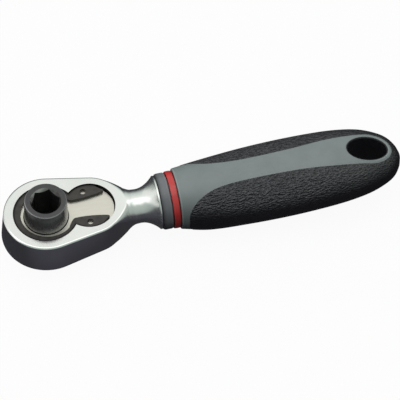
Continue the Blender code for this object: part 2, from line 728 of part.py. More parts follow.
def build_lever():
    """Reversing lever, drawn about its pivot pointing to the handle, then swung to one side."""
    outline = hull(LEVER_HUB_RADIUS, LEVER_TIP_RADIUS, LEVER_LENGTH - LEVER_TIP_RADIUS)
    lever = plate("reversing_lever", [outline], LEVER_LOW, LEVER_HIGH)
    bevel(lever, LEVER_EDGE, segments=2)
    lever_middle = (LEVER_LOW + LEVER_HIGH) / 2
    stem = turned(
        "lever_stem",
        [
            (0, STEM_TOP),
            (STEM_RADIUS, STEM_TOP),
            (STEM_RADIUS, CLIP_HIGH + SEAT_GAP),
            (CLIP_GROOVE_RADIUS, CLIP_HIGH + SEAT_GAP),
            (CLIP_GROOVE_RADIUS, CLIP_LOW - SEAT_GAP),
            (STEM_RADIUS, CLIP_LOW - SEAT_GAP),
            (STEM_RADIUS, lever_middle),
            (0, lever_middle),
        ],
        cutter=True,
        segments=SMALL_SEGMENTS,
    )
    join(lever, stem, solver="MANIFOLD")
    bore_start = SPRING_X - SEAT_GAP
    bore_end = STEM_RADIUS + OVERCUT
    plunger_bore = rod("plunger_bore", PLUNGER_BORE_RADIUS, bore_start, bore_end, PIN_SEGMENTS, cutter=True)
    lay_along_x(plunger_bore)
    plunger_bore.location.z = PAWL_MIDDLE
    cut(lever, plunger_bore)
    carry(lever, [stem, plunger_bore])
    lever.location = PIVOT
    lever.rotation_euler.z = LEVER_THROW
    finish(lever, BLACK_STEEL)
    return lever


def build_clip(lever):
    """Open clip in the stem's groove, on the floor of the head."""
    start = CLIP_OPENING / 2
    end = math.tau - start
    outline = arc(0, 0, CLIP_RADIUS, start, end, SMALL_SEGMENTS)
    outline += arc(0, 0, CLIP_GROOVE_RADIUS + SEAT_GAP, end, start, SMALL_SEGMENTS)
    clip = plate("lever_clip", [outline], CLIP_LOW, CLIP_HIGH)
    finish(clip, SPRING_STEEL)
    clip.parent = lever


def build_plunger(lever):
    plunger = turned(
        "detent_plunger",
        [
            (0, PLUNGER_TIP_X),
            (PLUNGER_TIP_RADIUS, PLUNGER_TIP_X),
            (PLUNGER_RADIUS, PLUNGER_TIP_X - PLUNGER_TIP_LENGTH),
            (PLUNGER_RADIUS, PLUNGER_BACK_X),
            (0, PLUNGER_BACK_X),
        ],
        segments=PIN_SEGMENTS,
        along_x=True,
    )
    plunger.location.z = PAWL_MIDDLE
    finish(plunger, SPRING_STEEL)
    plunger.parent = lever


def build_spring(lever):
    """Helical compression spring along X behind the plunger."""
    pitch = (SPRING_LENGTH - 2 * SPRING_WIRE_RADIUS) / SPRING_TURNS
    points = []
    for i in range(SPRING_TURNS * SPRING_STEPS + 1):
        turns = i / SPRING_STEPS
        angle = math.tau * turns
        x = SPRING_X + SPRING_WIRE_RADIUS + pitch * turns
        y = SPRING_RADIUS * math.cos(angle)
        z = PAWL_MIDDLE + SPRING_RADIUS * math.sin(angle)
        points.append(Vector((x, y, z)))
    half_turn = SPRING_STEPS // 2
    least = min(
        (points[i] - points[j]).length
        for i in range(len(points))
        for j in range(i + half_turn, len(points))
    )
    print(f"spring: least gap to itself {(least - 2 * SPRING_WIRE_RADIUS) / MM:.2f} mm")
    curve = bpy.data.curves.new("detent_spring", "CURVE")
    curve.dimensions = "3D"
    curve.bevel_depth = SPRING_WIRE_RADIUS
    curve.bevel_resolution = 1
    curve.use_fill_caps = True
    spline = curve.splines.new("POLY")
    spline.points.add(len(points) - 1)
    for spline_point, point in zip(spline.points, points):
        spline_point.co = (*point, 1)
    curve.materials.append(SPRING_STEEL)
    spring = add_object("detent_spring", curve)
    spring.parent = lever


def build_tang_bore():
    """Hexagon bore that the collar and the handle's core have for the tang."""
    across_flats = TANG_ACROSS_FLATS + 2 * SEAT_GAP
    bore = hex_rod("tang_bore", across_flats, NECK_END_X - OVERCUT, TANG_END_X + SEAT_GAP, cutter=True)
    return lay_along_x(bore)


def build_collar(tang_bore):
    end = COLLAR_X + COLLAR_LENGTH
    collar = turned(
        "front_collar",
        [
            (0, end),
            (COLLAR_RADIUS - COLLAR_EDGE / 2, end),
            (COLLAR_RADIUS, end - COLLAR_EDGE / 2),
            (COLLAR_RADIUS, COLLAR_X + COLLAR_EDGE),
            (COLLAR_RADIUS - COLLAR_EDGE * EDGE_MIDDLE, COLLAR_X + COLLAR_EDGE * EDGE_MIDDLE),
            (COLLAR_RADIUS - COLLAR_EDGE, COLLAR_X),
            (0, COLLAR_X),
        ],
        along_x=True,
    )
    cut(collar, tang_bore)
    finish(collar, GREY_PLASTIC)


def build_marker_ring():
    end = MARKER_X + MARKER_LENGTH
    crown_length = MARKER_LENGTH * MARKER_CROWN_SHARE
    marker = turned(
        "marker_ring",
        [
            (0, end),
            (MARKER_RADIUS - MARKER_CROWN, end),
            (MARKER_RADIUS, end - crown_length),
            (MARKER_RADIUS, MARKER_X + crown_length),
            (MARKER_RADIUS - MARKER_CROWN, MARKER_X),
            (0, MARKER_X),
        ],
        along_x=True,
    )
    bore_radius = MARKER_RADIUS - MARKER_WALL
    bore = rod("marker_bore", bore_radius, MARKER_X - OVERCUT, end + OVERCUT, ROUND_SEGMENTS, cutter=True)
    cut(marker, lay_along_x(bore))
    finish(marker, RED_PLASTIC)


def shape_value(shape, share, column):
    """Smooth value of one column of a shape list at a share of the length."""
    last = len(shape) - 1
    at = max(i for i in range(last) if i == 0 or shape[i][0] <= share)

    def slope(i):
        low = max(i - 1, 0)
        high = min(i + 1, last)
        return (shape[high][column] - shape[low][column]) / (shape[high][0] - shape[low][0])

    span = shape[at + 1][0] - shape[at][0]
    t = (share - shape[at][0]) / span
    start = shape[at][column]
    end = shape[at + 1][column]
    blend = t * t * (3 - 2 * t)
    bend = span * t * (1 - t) * (slope(at) * (1 - t) - slope(at + 1) * t)
    return start + (end - start) * blend + bend


def handle_section(share, wall):
    """Points of the handle's oval section, drawn in by a wall thickness."""
    half_width = HANDLE_HALF_WIDTH * shape_value(HANDLE_SHAPE, share, 1) - wall
    half_height = HANDLE_HALF_HEIGHT * shape_value(HANDLE_SHAPE, share, 2) - wall
    lift = HANDLE_LIFT * shape_value(HANDLE_SHAPE, share, 3)
    x = HANDLE_X + HANDLE_LENGTH * share
    points = []
    for i in range(HANDLE_SEGMENTS):
        angle = math.tau * (i + 0.5) / HANDLE_SEGMENTS
        across = math.copysign(abs(math.cos(angle)) ** (2 / SECTION_POWER), math.cos(angle))
        up = math.copysign(abs(math.sin(angle)) ** (2 / SECTION_POWER), math.sin(angle))
        points.append((x, half_width * across, lift + half_height * up))
    return points


def loft(name, rings, cutter=False):
    """Closed solid through rings with the same number of points."""
    shape = bmesh.new()
    rows = [[shape.verts.new(point) for point in ring] for ring in rings]
    count = len(rings[0])
    for row, following in zip(rows, rows[1:]):
        for i in range(count):
            j = (i + 1) % count
            shape.faces.new((row[i], row[j], following[j], following[i]))
    shape.faces.new(rows[0])
    shape.faces.new(rows[-1])
    bmesh.ops.recalc_face_normals(shape, faces=shape.faces)
    mesh = bpy.data.meshes.new(name)
    shape.to_mesh(mesh)
    shape.free()
    return add_object(name, mesh, cutter)


def handle_solid(name):
    """The whole handle, grip and core together, with a rounded front edge."""
    edge_share = HANDLE_EDGE / HANDLE_LENGTH
    rings = []
    for depth in (0, EDGE_MIDDLE):
        section = handle_section(edge_share, (1 - depth) ** 2 * HANDLE_EDGE)
        rings.append([(HANDLE_X + depth * HANDLE_EDGE, y, z) for x, y, z in section])
    for i in range(HANDLE_SECTIONS + 1):
        to_end = (1 - i / HANDLE_SECTIONS) ** HANDLE_CROWDING
        rings.append(handle_section(1 - (1 - edge_share) * to_end, 0))
    return loft(name, rings)


def handle_inside(name, gap):
    """The space inside the soft grip, drawn in by a gap."""
    start = 2 * HANDLE_EDGE / HANDLE_LENGTH
    end = 1 - (GRIP_END_WALL + gap) / HANDLE_LENGTH
    shares = [start + (end - start) * i / INSIDE_SECTIONS for i in range(INSIDE_SECTIONS + 1)]
    return loft(name, [handle_section(share, GRIP_WALL + gap) for share in shares], cutter=True)


def strip_prism(name, growth):
    """Upright prism of the grey strip, which widens to the whole front and ends round the hang hole."""
    end_width = HOLE_WIDTH / 2 + HOLE_RIM
    points = [(HANDLE_X + HANDLE_LENGTH * share, STRIP_HALF_WIDTH * width) for share, width in STRIP_SHAPE]
    points.append((HOLE_X, end_width))
    side = [(x, y + growth) for x, y in smooth_line(points, CURVE_STEPS)]
    end_length = STRIP_END_X + growth - HOLE_X
    end_width += growth
    for i in range(1, STRIP_END_SEGMENTS):
        angle = math.pi / 2 * i / STRIP_END_SEGMENTS
        side.append((HOLE_X + end_length * math.sin(angle), end_width * math.cos(angle)))
    outline = side + [(HOLE_X + end_length, 0)] + [(x, -y) for x, y in reversed(side)]
    reach = 2 * HANDLE_HALF_HEIGHT
    return plate(name, [outline], -reach, reach, cutter=True)


def hang_hole():
    """Oval hole through the handle that widens towards both faces."""
    rings = []
    for side, steps in ((-1, reversed(HOLE_FLARE_STEPS)), (1, HOLE_FLARE_STEPS)):
        for step in steps:
            level = HANDLE_LIFT + side * (HOLE_STRAIGHT / 2 + HOLE_FLARE * step)
            half_length = HOLE_LENGTH / 2 + HOLE_ROUNDING * step**2
            half_width = HOLE_WIDTH / 2 + HOLE_ROUNDING * step**2
            outline = circle(1, segments=SMALL_SEGMENTS)
            rings.append([(HOLE_X + half_length * x, half_width * y, level) for x, y in outline])
    return loft("hang_hole", rings, cutter=True)


def build_core(tang_bore):
    """Grey core of the handle: its front, the strip above and below, and what lies inside the grip."""
    core = handle_solid("handle_core")
    boolean(core, strip_prism("core_strip", 0), "INTERSECT")
    nose_radius = MARKER_RADIUS - MARKER_WALL - SEAT_GAP
    nose = rod("core_nose", nose_radius, MARKER_X, HANDLE_X + OVERCUT, ROUND_SEGMENTS, cutter=True)
    join(core, handle_inside("core_inside", SEAT_GAP), lay_along_x(nose))
    cut(core, tang_bore, hang_hole())
    finish(core, GREY_PLASTIC)


def build_grip():
    grip = handle_solid("soft_grip")
    cut(grip, strip_prism("grip_strip", SEAT_GAP), handle_inside("grip_inside", 0))
    finish(grip, GRIP_BLACK)


build_head()
drive_gear = build_drive()
build_magnet(drive_gear)
build_o_ring(drive_gear)
build_cover_plate()
build_retaining_ring()
build_pawl()
reversing_lever = build_lever()
build_clip(reversing_lever)
build_plunger(reversing_lever)
build_spring(reversing_lever)
handle_bore = build_tang_bore()
build_collar(handle_bore)
build_marker_ring()
build_core(handle_bore)
build_grip()
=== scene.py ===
import json
from math import acos, atan2, copysign, cos, hypot, pi, radians, sin, sqrt, tau

import bmesh
import bpy
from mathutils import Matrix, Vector


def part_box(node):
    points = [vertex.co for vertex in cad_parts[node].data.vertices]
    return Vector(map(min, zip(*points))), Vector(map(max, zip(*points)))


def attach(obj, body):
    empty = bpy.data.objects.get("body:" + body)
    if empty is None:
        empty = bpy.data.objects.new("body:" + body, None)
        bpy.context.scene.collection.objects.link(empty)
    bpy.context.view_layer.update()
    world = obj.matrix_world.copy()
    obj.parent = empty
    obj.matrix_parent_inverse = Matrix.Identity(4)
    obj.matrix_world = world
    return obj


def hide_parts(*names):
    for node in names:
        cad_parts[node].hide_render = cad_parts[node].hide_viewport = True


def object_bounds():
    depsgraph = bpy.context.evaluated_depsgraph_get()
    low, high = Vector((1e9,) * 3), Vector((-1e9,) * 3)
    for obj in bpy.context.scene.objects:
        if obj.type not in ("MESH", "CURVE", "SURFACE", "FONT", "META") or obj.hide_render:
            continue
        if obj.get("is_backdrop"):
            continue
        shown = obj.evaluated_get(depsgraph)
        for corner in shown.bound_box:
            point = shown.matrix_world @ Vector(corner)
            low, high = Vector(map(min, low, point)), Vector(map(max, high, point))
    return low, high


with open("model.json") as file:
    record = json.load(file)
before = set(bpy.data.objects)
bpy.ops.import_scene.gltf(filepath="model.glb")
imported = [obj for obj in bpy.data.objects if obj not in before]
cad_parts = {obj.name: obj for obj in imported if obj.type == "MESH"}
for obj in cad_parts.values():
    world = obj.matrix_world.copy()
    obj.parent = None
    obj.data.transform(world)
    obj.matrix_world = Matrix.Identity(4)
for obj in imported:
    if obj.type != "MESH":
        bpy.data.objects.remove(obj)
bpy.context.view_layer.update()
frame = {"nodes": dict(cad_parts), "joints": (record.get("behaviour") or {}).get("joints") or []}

# A millimetre in metres, and the distance at which points join
MM = 0.001
WELD = 0.002 * MM

# Angles between faces that count as flat, get a bevel and stay sharp
FLAT_ANGLE = radians(0.05)
BEVEL_ANGLE = radians(40)
SHARP_ANGLE = radians(32)

# Gaps between pieces, and how far a tool reaches past what it cuts or joins
SEAT_GAP = 0.10 * MM
RUNNING_GAP = 0.1 * MM
TOOL_REACH = 2.0 * MM

# Places and sizes read from the frame
HEAD_LOW, HEAD_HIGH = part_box("head")
DRIVE_LOW, DRIVE_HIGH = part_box("drive_gear")
COVER_LOW, COVER_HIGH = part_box("cover_plate")
RING_LOW, RING_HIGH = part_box("retaining_ring")
COLLAR_LOW, COLLAR_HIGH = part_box("front_collar")
MARKER_LOW, MARKER_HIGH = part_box("marker_ring")
GRIP_LOW, GRIP_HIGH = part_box("soft_grip")
LEVER_LOW, LEVER_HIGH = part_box("reversing_lever")
CLIP_LOW, CLIP_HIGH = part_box("lever_clip")
PLUNGER_LOW, PLUNGER_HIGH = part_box("detent_plunger")
JOINTS = {joint["name"]: joint for joint in frame["joints"]}
PIVOT_X = JOINTS["lever_turn"]["pos_m"][0]

# Head
HEAD_TOP = 4.4 * MM
HEAD_BOTTOM = -HEAD_TOP
HEAD_FRONT_RADIUS = -HEAD_LOW.x + 0.2 * MM
HEAD_REAR_RADIUS = 8.5 * MM
HEAD_TOP_EDGE = 0.6 * MM
HEAD_BOTTOM_EDGE = 0.4 * MM
HEAD_FRONT_DRAFT = 0.6 * MM
RECESS_FRONT_RADIUS = -COVER_LOW.x + SEAT_GAP
RECESS_REAR_RADIUS = COVER_HIGH.x - PIVOT_X + SEAT_GAP
SHELF = 0.7 * MM
PAWL_SHELF = 0.45 * MM
FLOOR_TOP = -3.0 * MM
RING_GROOVE_DEPTH = 0.35 * MM
LEVER_BORE_RADIUS = 2.6 * MM
JOURNAL_RADIUS = 3.6 * MM

# Neck
NECK_RADIUS = 4.34 * MM
NECK_LENGTH = 8.7 * MM
NECK_RIM_RADIUS = HEAD_HIGH.z - 0.15 * MM
NECK_ROOT_FLARE = 1.95 * MM
NECK_WAIST_SHARE = 0.58
NECK_FLARE_POWER = 0.95
NECK_LAND = 0.42 * MM
NECK_LAND_EDGE = 0.12 * MM
NECK_DIP = 0.28 * MM
NECK_END_X = COLLAR_LOW.x - SEAT_GAP
NECK_START_X = 15.8 * MM
NECK_SQUARE_X = NECK_START_X + 1.5 * MM
TANG_ACROSS_FLATS = 7.0 * MM
BLEND_START_X = 15.0 * MM
BLEND_END_X = 22.0 * MM
BLEND_POWER = 1.4
TIP_X = 20.1 * MM
TIP_POWER = 2.2
TIP_ROUNDING = 0.7
ROUND_START_X = 20.0 * MM
ROUND_END_X = 24.0 * MM
DIP_START_X = 21.8 * MM

# Drive
HEX_ACROSS_FLATS = 6.4 * MM
HEX_TURN = radians(4.5)
SOCKET_RADIUS = 5.25 * MM
SOCKET_FOOT_RADIUS = 5.5 * MM
SOCKET_EDGE = 0.28 * MM
COUNTERSINK_RADIUS = 3.85 * MM
# Side of the countersink that carries its painted highlight
SINK_HIGHLIGHT_SIDE = (-0.456, 0.890, 0.0)
GEAR_TIP_RADIUS = DRIVE_HIGH.x
GEAR_LOW = FLOOR_TOP + RUNNING_GAP
GEAR_HIGH = COVER_LOW.z - SEAT_GAP - RUNNING_GAP
SOCKET_LOW = GEAR_LOW + 1.0 * MM
JOURNAL_CHAMFER = 0.2 * MM
MAGNET_POCKET_RADIUS = 2.6 * MM
MAGNET_POCKET_LOW = -3.0 * MM
UPRIGHT_NORMAL_Z = 0.1
TOOTH_COUNT = 60
TOOTH_DEPTH = 0.33 * MM

# Cover plate and retaining ring
COVER_HOLE_GAP = 0.1 * MM
COVER_EDGE_GAP = 0.25 * MM
PLATE_EDGE = 0.10 * MM
RING_WIDTH = 1.85 * MM
RING_INNER_SHIFT = 0.4 * MM
# Reach of the painted shade on the retaining ring next to the recess walls
RING_SHADE_REACH = 0.9 * MM
RING_SHOULDER = radians(9)
RING_INNER_END = radians(49)
LUG_CUSP_CLEAR = radians(2)
LUG_HOLE_RADIUS = 0.76 * MM
LUG_HOLE_DISTANCE = 3.6 * MM
LUG_INNER_OFFSET = 2.65 * MM
LUG_LENGTH = 8.6 * MM
LUG_EDGE_GAP = 0.15 * MM
LUG_ARC_END = 0.53

# Lever
LEVER_REST_TURN = radians(22)
LEVER_HUB_RADIUS = 4.6 * MM
LEVER_LENGTH = 11.5 * MM
LEVER_TIP_RADIUS = 2.4 * MM
LEVER_EDGE = 0.6 * MM
LEVER_TOP = HEAD_BOTTOM - RUNNING_GAP
STEM_RADIUS = 2.5 * MM
CLIP_GROOVE_DEPTH = 0.45 * MM
PLUNGER_BORE_DEPTH = 4.55 * MM

# Collar, marker ring and handle
COLLAR_RADIUS = COLLAR_HIGH.z
COLLAR_EDGE = 0.8 * MM
MARKER_RADIUS = MARKER_HIGH.z
MARKER_WALL = 0.9 * MM
MARKER_CROWN = 0.12 * MM
MARKER_CROWN_POWER = 4
MARKER_SEAM = 0.12 * MM
HANDLE_X = MARKER_HIGH.x + SEAT_GAP
HANDLE_END_X = GRIP_HIGH.x
HANDLE_LENGTH = HANDLE_END_X - HANDLE_X
HANDLE_HALF_WIDTH = 9.87 * MM
HANDLE_HALF_HEIGHT = 7.6 * MM
HANDLE_LIFT = 0.95 * MM
HANDLE_EDGE = 0.35 * MM
# Reach of the painted highlight on the handle's front edge
HANDLE_HIGHLIGHT_REACH = 0.6 * MM
STRIP_HALF_WIDTH = 3.2 * MM
STRIP_WIDEST_SHARE = 0.999
STRIP_END_X = HANDLE_END_X - 2.1 * MM
HOLE_LENGTH = 9.9 * MM
HOLE_WIDTH = 6.5 * MM
HOLE_END_RIM = 1.3 * MM
HOLE_RIM = 1.3 * MM
HOLE_X = STRIP_END_X - HOLE_END_RIM - HOLE_LENGTH / 2
HOLE_ROUNDING = 0.6 * MM
LINER_GAP = 0.03 * MM
LINER_WALL = 0.3 * MM
LINER_START = radians(24)
GRIP_PROUD = 0.08 * MM
GRIP_LIP = 0.22 * MM
GRIP_TUCK = 0.6 * MM
GRIP_WALL = 0.4 * MM

# Neck from the head to its waist: share of its length from the rim, then share of the root's flare
NECK_ROOT_SHAPE = ((1.25, 0.98), (1.12, 0.73), (0.98, 0.49), (0.76, 0.09))

# Leaf-shaped lug: share of its length back from the tip, then height above its inner edge
LUG_SHAPE = (
    (0.11, 2.07 * MM),
    (0.01, 1.47 * MM),
    (0.04, 0.95 * MM),
    (0.27, 0.50 * MM),
    (0.60, 0.10 * MM),
    (0.90, 0.00 * MM),
    (1.04, 0.25 * MM),
    (1.18, 1.85 * MM),
)

# Handle: share of its length, then width, height and lift as shares of the greatest
HANDLE_SHAPE = (
    (0.000, 0.735, 0.970, 0.00),
    (0.125, 0.858, 1.070, -0.66),
    (0.300, 0.964, 1.020, -0.21),
    (0.477, 1.000, 1.000, 0.26),
    (0.652, 0.974, 0.974, 0.74),
    (0.758, 0.928, 0.895, 0.95),
    (0.845, 0.839, 0.776, 1.00),
    (0.916, 0.680, 0.618, 0.84),
    (0.960, 0.507, 0.470, 0.63),
    (0.989, 0.270, 0.260, 0.53),
    (1.000, 0.080, 0.080, 0.53),
)
SECTION_POWER = 2.3

# Half width of the grey strip: share of the handle's length, then share of its narrowest half width
STRIP_SHAPE = (
    (-0.040, 3.00),
    (0.010, 2.60),
    (0.035, 2.28),
    (0.062, 1.95),
    (0.095, 1.65),
    (0.150, 1.28),
    (0.220, 1.08),
    (0.300, 1.00),
    (0.420, 1.00),
    (0.560, 1.09),
    (0.700, 1.30),
)

# Facets of the fine surfaces, and how they crowd towards the handle's end
ROUND_STEPS = 144
SMALL_ROUND_STEPS = 64
CORNER_STEPS = 20
NECK_ROOT_STEPS = 8
NECK_FLARE_STEPS = 28
HEAD_FRONT_STEPS = 64
HEAD_SIDE_STEPS = 12
HEAD_REAR_STEPS = 16
EDGE_STEPS = 5
POCKET_STEPS = 48
RING_STEPS = 60
SHOULDER_STEPS = 6
LUG_ARC_STEPS = 24
LUG_STEPS = 10
LUG_HOLE_STEPS = 32
MARKER_STEPS = 16
HANDLE_STEPS = 120
HANDLE_ROUND = 128
HANDLE_EDGE_STEPS = 6
HANDLE_STEP_POWER = 1.6
STRIP_STEPS = 8
STRIP_END_STEPS = 32
HOLE_ROUND = 96
HOLE_EDGE_STEPS = 6
GRIP_ROUND = 56
GRIP_LIP_TURNS = (pi / 6, pi / 3, pi / 2)
GRIP_END_STEPS = 24
GRIP_END_POWER = 1.8

# Looks: where a noise mostly lies, depths of grain, and tones, with the reach of the painted highlight on
# the hang hole's lip
NOISE_LOW = 0.3
NOISE_HIGH = 0.7
FINE_DEPTH = 0.01 * MM
GRAIN_DEPTH = 0.8 * MM
PEBBLE_SHARE = 0.35
NECK_SATIN = 0.10
HANDLE_TONE = 0.75
HOLE_LIP_REACH = (0.5, 1.5)

# Camera: the photograph's angle through a long lens, and the width it shows
CAMERA_AZIMUTH = radians(12.86)
CAMERA_ELEVATION = radians(56.1)
CAMERA_TARGET = Vector((38.92, 0.10, -2.73)) * MM
CAMERA_WIDTH = 99.2 * MM
CAMERA_LENS = 560
SENSOR_WIDTH = 36
CAMERA_CLIP = (0.01, 20)

# Floor: its two colours, how white it is where it is seen, and where the glowing strip under the object,
# which lights it from below, fades
FLOOR_SIZE = 6.0
FLOOR_DROP = 0.1 * MM
FLOOR_PALE = (0.9, 0.9, 0.9, 1)
FLOOR_DIM = (0.036, 0.034, 0.042, 1)
FLOOR_GLOW = 0.94
UNDER_GLOW_EDGE = (3 * MM, 6 * MM)

# Soft lamp over the object
LAMP_PLACE = (-0.25, 0.05, 0.60)
LAMP_SIZE = (1.5, 0.46)
LAMP_POWER = 1.086

# Surroundings from the horizon up, on the side that is bright down to the horizon and on the other
WHITE = (1, 1, 1, 1)
BRIGHT_SIDE = Vector((-0.5, 0.866, 0.0))
BRIGHT_EDGE = (-0.5, 0.5)
BRIGHT_SKY = (
    (0.0, (0.56, 0.62, 0.60)),
    (0.35, (0.72, 0.80, 0.77)),
    (0.75, (0.91, 0.93, 0.91)),
    (1.0, (1.0, 1.0, 1.0)),
)
DIM_SKY = (
    (0.0, (0.010, 0.010, 0.012)),
    (0.35, (0.035, 0.036, 0.038)),
    (0.65, (0.20, 0.205, 0.205)),
    (0.88, (0.68, 0.70, 0.69)),
    (1.0, (1.0, 1.0, 1.0)),
)

# Studio cards round the object, which only reflections show
CARD_DISTANCE = 0.4
CARD_STEPS = 48
CARD_DARK = (0.045, 0.044, 0.050)

# Card that lies under the object, and its colours from front to back
TABLE_CARD_RISE = 0.05 * MM
TABLE_CARD_CORNER = (8 * MM, 14 * MM)
TABLE_CARD_END = radians(150)
TABLE_CARD_LAP = 1.5 * MM
TABLE_CARD_COLOURS = (
    (0.0, (0.064, 0.062, 0.080)),
    (0.475, (0.064, 0.062, 0.080)),
    (0.486, (0.036, 0.035, 0.042)),
    (0.50, (0.036, 0.035, 0.042)),
    (1.0, CARD_DARK),
)

# Colours of the standing cards from the floor up
FRONT_CARD_COLOURS = (
    (0.0, CARD_DARK),
    (0.028, (0.06, 0.06, 0.066)),
    (0.075, (0.36, 0.40, 0.39)),
    (0.28, (0.48, 0.54, 0.52)),
    (1.0, (0.60, 0.66, 0.63)),
)
LEFT_CARD_COLOURS = (
    (0.0, (0.34, 0.37, 0.36)),
    (1.0, (0.475, 0.515, 0.50)),
)
BACK_CARD_COLOURS = (
    (0.0, CARD_DARK),
    (0.08, (0.12, 0.125, 0.125)),
    (0.255, (0.46, 0.50, 0.49)),
    (0.417, (0.68, 0.75, 0.72)),
    (0.61, (0.77, 0.83, 0.81)),
    (0.81, (0.84, 0.88, 0.86)),
    (1.0, (0.96, 0.98, 0.97)),
)

# Standing cards: name, side of the object, half angle, height and colours
STANDING_CARDS = (
    ("front_card", Vector((0.28, -0.96, 0.0)), radians(89), 0.99, FRONT_CARD_COLOURS),
    ("left_card", Vector((-0.676, 0.737, 0.0)), radians(17.5), 0.11, LEFT_CARD_COLOURS),
    ("back_card", Vector((0.34, 0.94, 0.0)), radians(45), 0.51, BACK_CARD_COLOURS),
)


# Outlines and lines


def spread(start, end, steps):
    """Evenly spaced values, both ends included."""
    return [start + (end - start) * i / steps for i in range(steps + 1)]


def arc(centre_x, radius, start, end, steps):
    """Points on an arc about a place on the X axis, both ends included."""
    return [(centre_x + radius * cos(a), radius * sin(a)) for a in spread(start, end, steps)]


def circle(radius, steps=ROUND_STEPS, centre_x=0, centre_y=0):
    return [(x, y + centre_y) for x, y in arc(centre_x, radius, 0, tau, steps)[:-1]]


def quarter(steps, start=0.0):
    """Quarter round of radius 1: how far its points lie in from the side and down from the top."""
    return [(1 - sin(a), 1 - cos(a)) for a in spread(start, pi / 2, steps)]


def hull(front_radius, rear_radius, distance):
    """Outline of two circles on the X axis and their common tangents."""
    turn = acos((front_radius - rear_radius) / distance)
    half = ROUND_STEPS // 2
    return arc(0, front_radius, turn, tau - turn, half) + arc(distance, rear_radius, -turn, turn, half)


def cusp(front_radius, rear_radius, distance):
    """Place along X where two overlapping circles on the X axis cross."""
    return (front_radius**2 - rear_radius**2 + distance**2) / (2 * distance)


def keyhole(front_radius, rear_radius, distance):
    """Outline of two overlapping circles on the X axis, with a cusp on each side."""
    cusp_x = cusp(front_radius, rear_radius, distance)
    front_turn = acos(cusp_x / front_radius)
    rear_turn = acos((cusp_x - distance) / rear_radius)
    front = arc(0, front_radius, front_turn, tau - front_turn, ROUND_STEPS)
    rear = arc(distance, rear_radius, -rear_turn, rear_turn, ROUND_STEPS // 2)
    return front + rear[1:-1]


def smooth(t):
    """Smooth step of a share from 0 to 1."""
    return t * t * (3 - 2 * t)


def ease(value, start, end):
    """Smooth step from 0 at start to 1 at end."""
    return smooth(min(max((value - start) / (end - start), 0), 1))


def smooth_line(points, steps):
    """Points on a smooth curve through the given ones."""
    line = []
    for i in range(len(points) - 1):
        before = Vector(points[max(i - 1, 0)])
        start = Vector(points[i])
        end = Vector(points[i + 1])
        after = Vector(points[min(i + 2, len(points) - 1)])
        leave = (end - before) / 2
        arrive = (after - start) / 2
        for step in range(steps):
            t = step / steps
            point = start.lerp(end, smooth(t)) + leave * (t * (1 - t) ** 2) - arrive * (t * t * (1 - t))
            line.append(tuple(point))
    line.append(tuple(points[-1]))
    return line


def line_step(line, i):
    """Step from the point before one of a line's points to the point after it."""
    return Vector(line[min(i + 1, len(line) - 1)]) - Vector(line[max(i - 1, 0)])


def shape_value(shape, share, column):
    """Smooth value of one column of a shape list at a share of the length."""
    last = len(shape) - 1
    at = max(i for i in range(last) if i == 0 or shape[i][0] <= share)

    def slope(i):
        low = max(i - 1, 0)
        high = min(i + 1, last)
        return (shape[high][column] - shape[low][column]) / (shape[high][0] - shape[low][0])

    span = shape[at + 1][0] - shape[at][0]
    t = (share - shape[at][0]) / span
    start = shape[at][column]
    end = shape[at + 1][column]
    bend = span * t * (1 - t) * (slope(at) * (1 - t) - slope(at + 1) * t)
    return start + (end - start) * smooth(t) + bend


# Meshes


def add_object(name, data):
    new_object = bpy.data.objects.new(name, data)
    bpy.context.scene.collection.objects.link(new_object)
    return new_object


def add_shape(name, shape):
    """Object from a bmesh as it is."""
    mesh = bpy.data.meshes.new(name)
    shape.to_mesh(mesh)
    shape.free()
    return add_object(name, mesh)


def add_solid(name, shape):
    """Object from a bmesh, with its points joined and its faces turned outwards."""
    bmesh.ops.remove_doubles(shape, verts=shape.verts, dist=WELD)
    bmesh.ops.dissolve_degenerate(shape, edges=shape.edges, dist=WELD)
    bmesh.ops.recalc_face_normals(shape, faces=shape.faces)
    return add_shape(name, shape)


def remove_part(part):
    mesh = part.data
    bpy.data.objects.remove(part)
    bpy.data.meshes.remove(mesh)


def add_rows(shape, rows, wrap=False):
    """Quads between rows of points. Returns the rows of vertices."""
    made = [[shape.verts.new(point) for point in row] for row in rows]
    for row, following in zip(made, made[1:]):
        count = len(row)
        for i in range(count if wrap else count - 1):
            j = (i + 1) % count
            shape.faces.new((row[i], row[j], following[j], following[i]))
    return made


def tube(name, rows, ends=(0, -1)):
    """Object from rings of points, with a face on each of the end rows."""
    shape = bmesh.new()
    made = add_rows(shape, rows, wrap=True)
    for end in ends:
        shape.faces.new(made[end])
    return add_solid(name, shape)


def prism(name, outlines, low, high):
    """Upright solid between two heights. Outlines after the first are holes in it."""
    curve = bpy.data.curves.new(name, "CURVE")
    curve.dimensions = "2D"
    curve.fill_mode = "BOTH"
    curve.extrude = (high - low) / 2
    for outline in outlines:
        spline = curve.splines.new("POLY")
        spline.points.add(len(outline) - 1)
        for point, (x, y) in zip(spline.points, outline):
            point.co = (x, y, 0, 1)
        spline.use_cyclic_u = True
    source = add_object(name + "_outline", curve)
    mesh = final_mesh(source)
    bpy.data.objects.remove(source)
    shape = bmesh.new()
    shape.from_mesh(mesh)
    bmesh.ops.remove_doubles(shape, verts=shape.verts, dist=WELD)
    bmesh.ops.dissolve_limit(shape, angle_limit=FLAT_ANGLE, verts=shape.verts, edges=shape.edges)
    bmesh.ops.translate(shape, verts=shape.verts, vec=(0, 0, (low + high) / 2))
    bpy.data.meshes.remove(mesh)
    return add_solid(name, shape)


def lay(outline, place, along_x):
    """Points of an outline at a place along X or along Z."""
    if along_x:
        return [(place, x, y) for x, y in outline]
    return [(x, y, place) for x, y in outline]


def turned(name, profile, steps=ROUND_STEPS, along_x=False):
    """Turned solid from (radius, height) points, about Z or about X."""
    return tube(name, [lay(circle(radius, steps), height, along_x) for radius, height in profile], ends=())


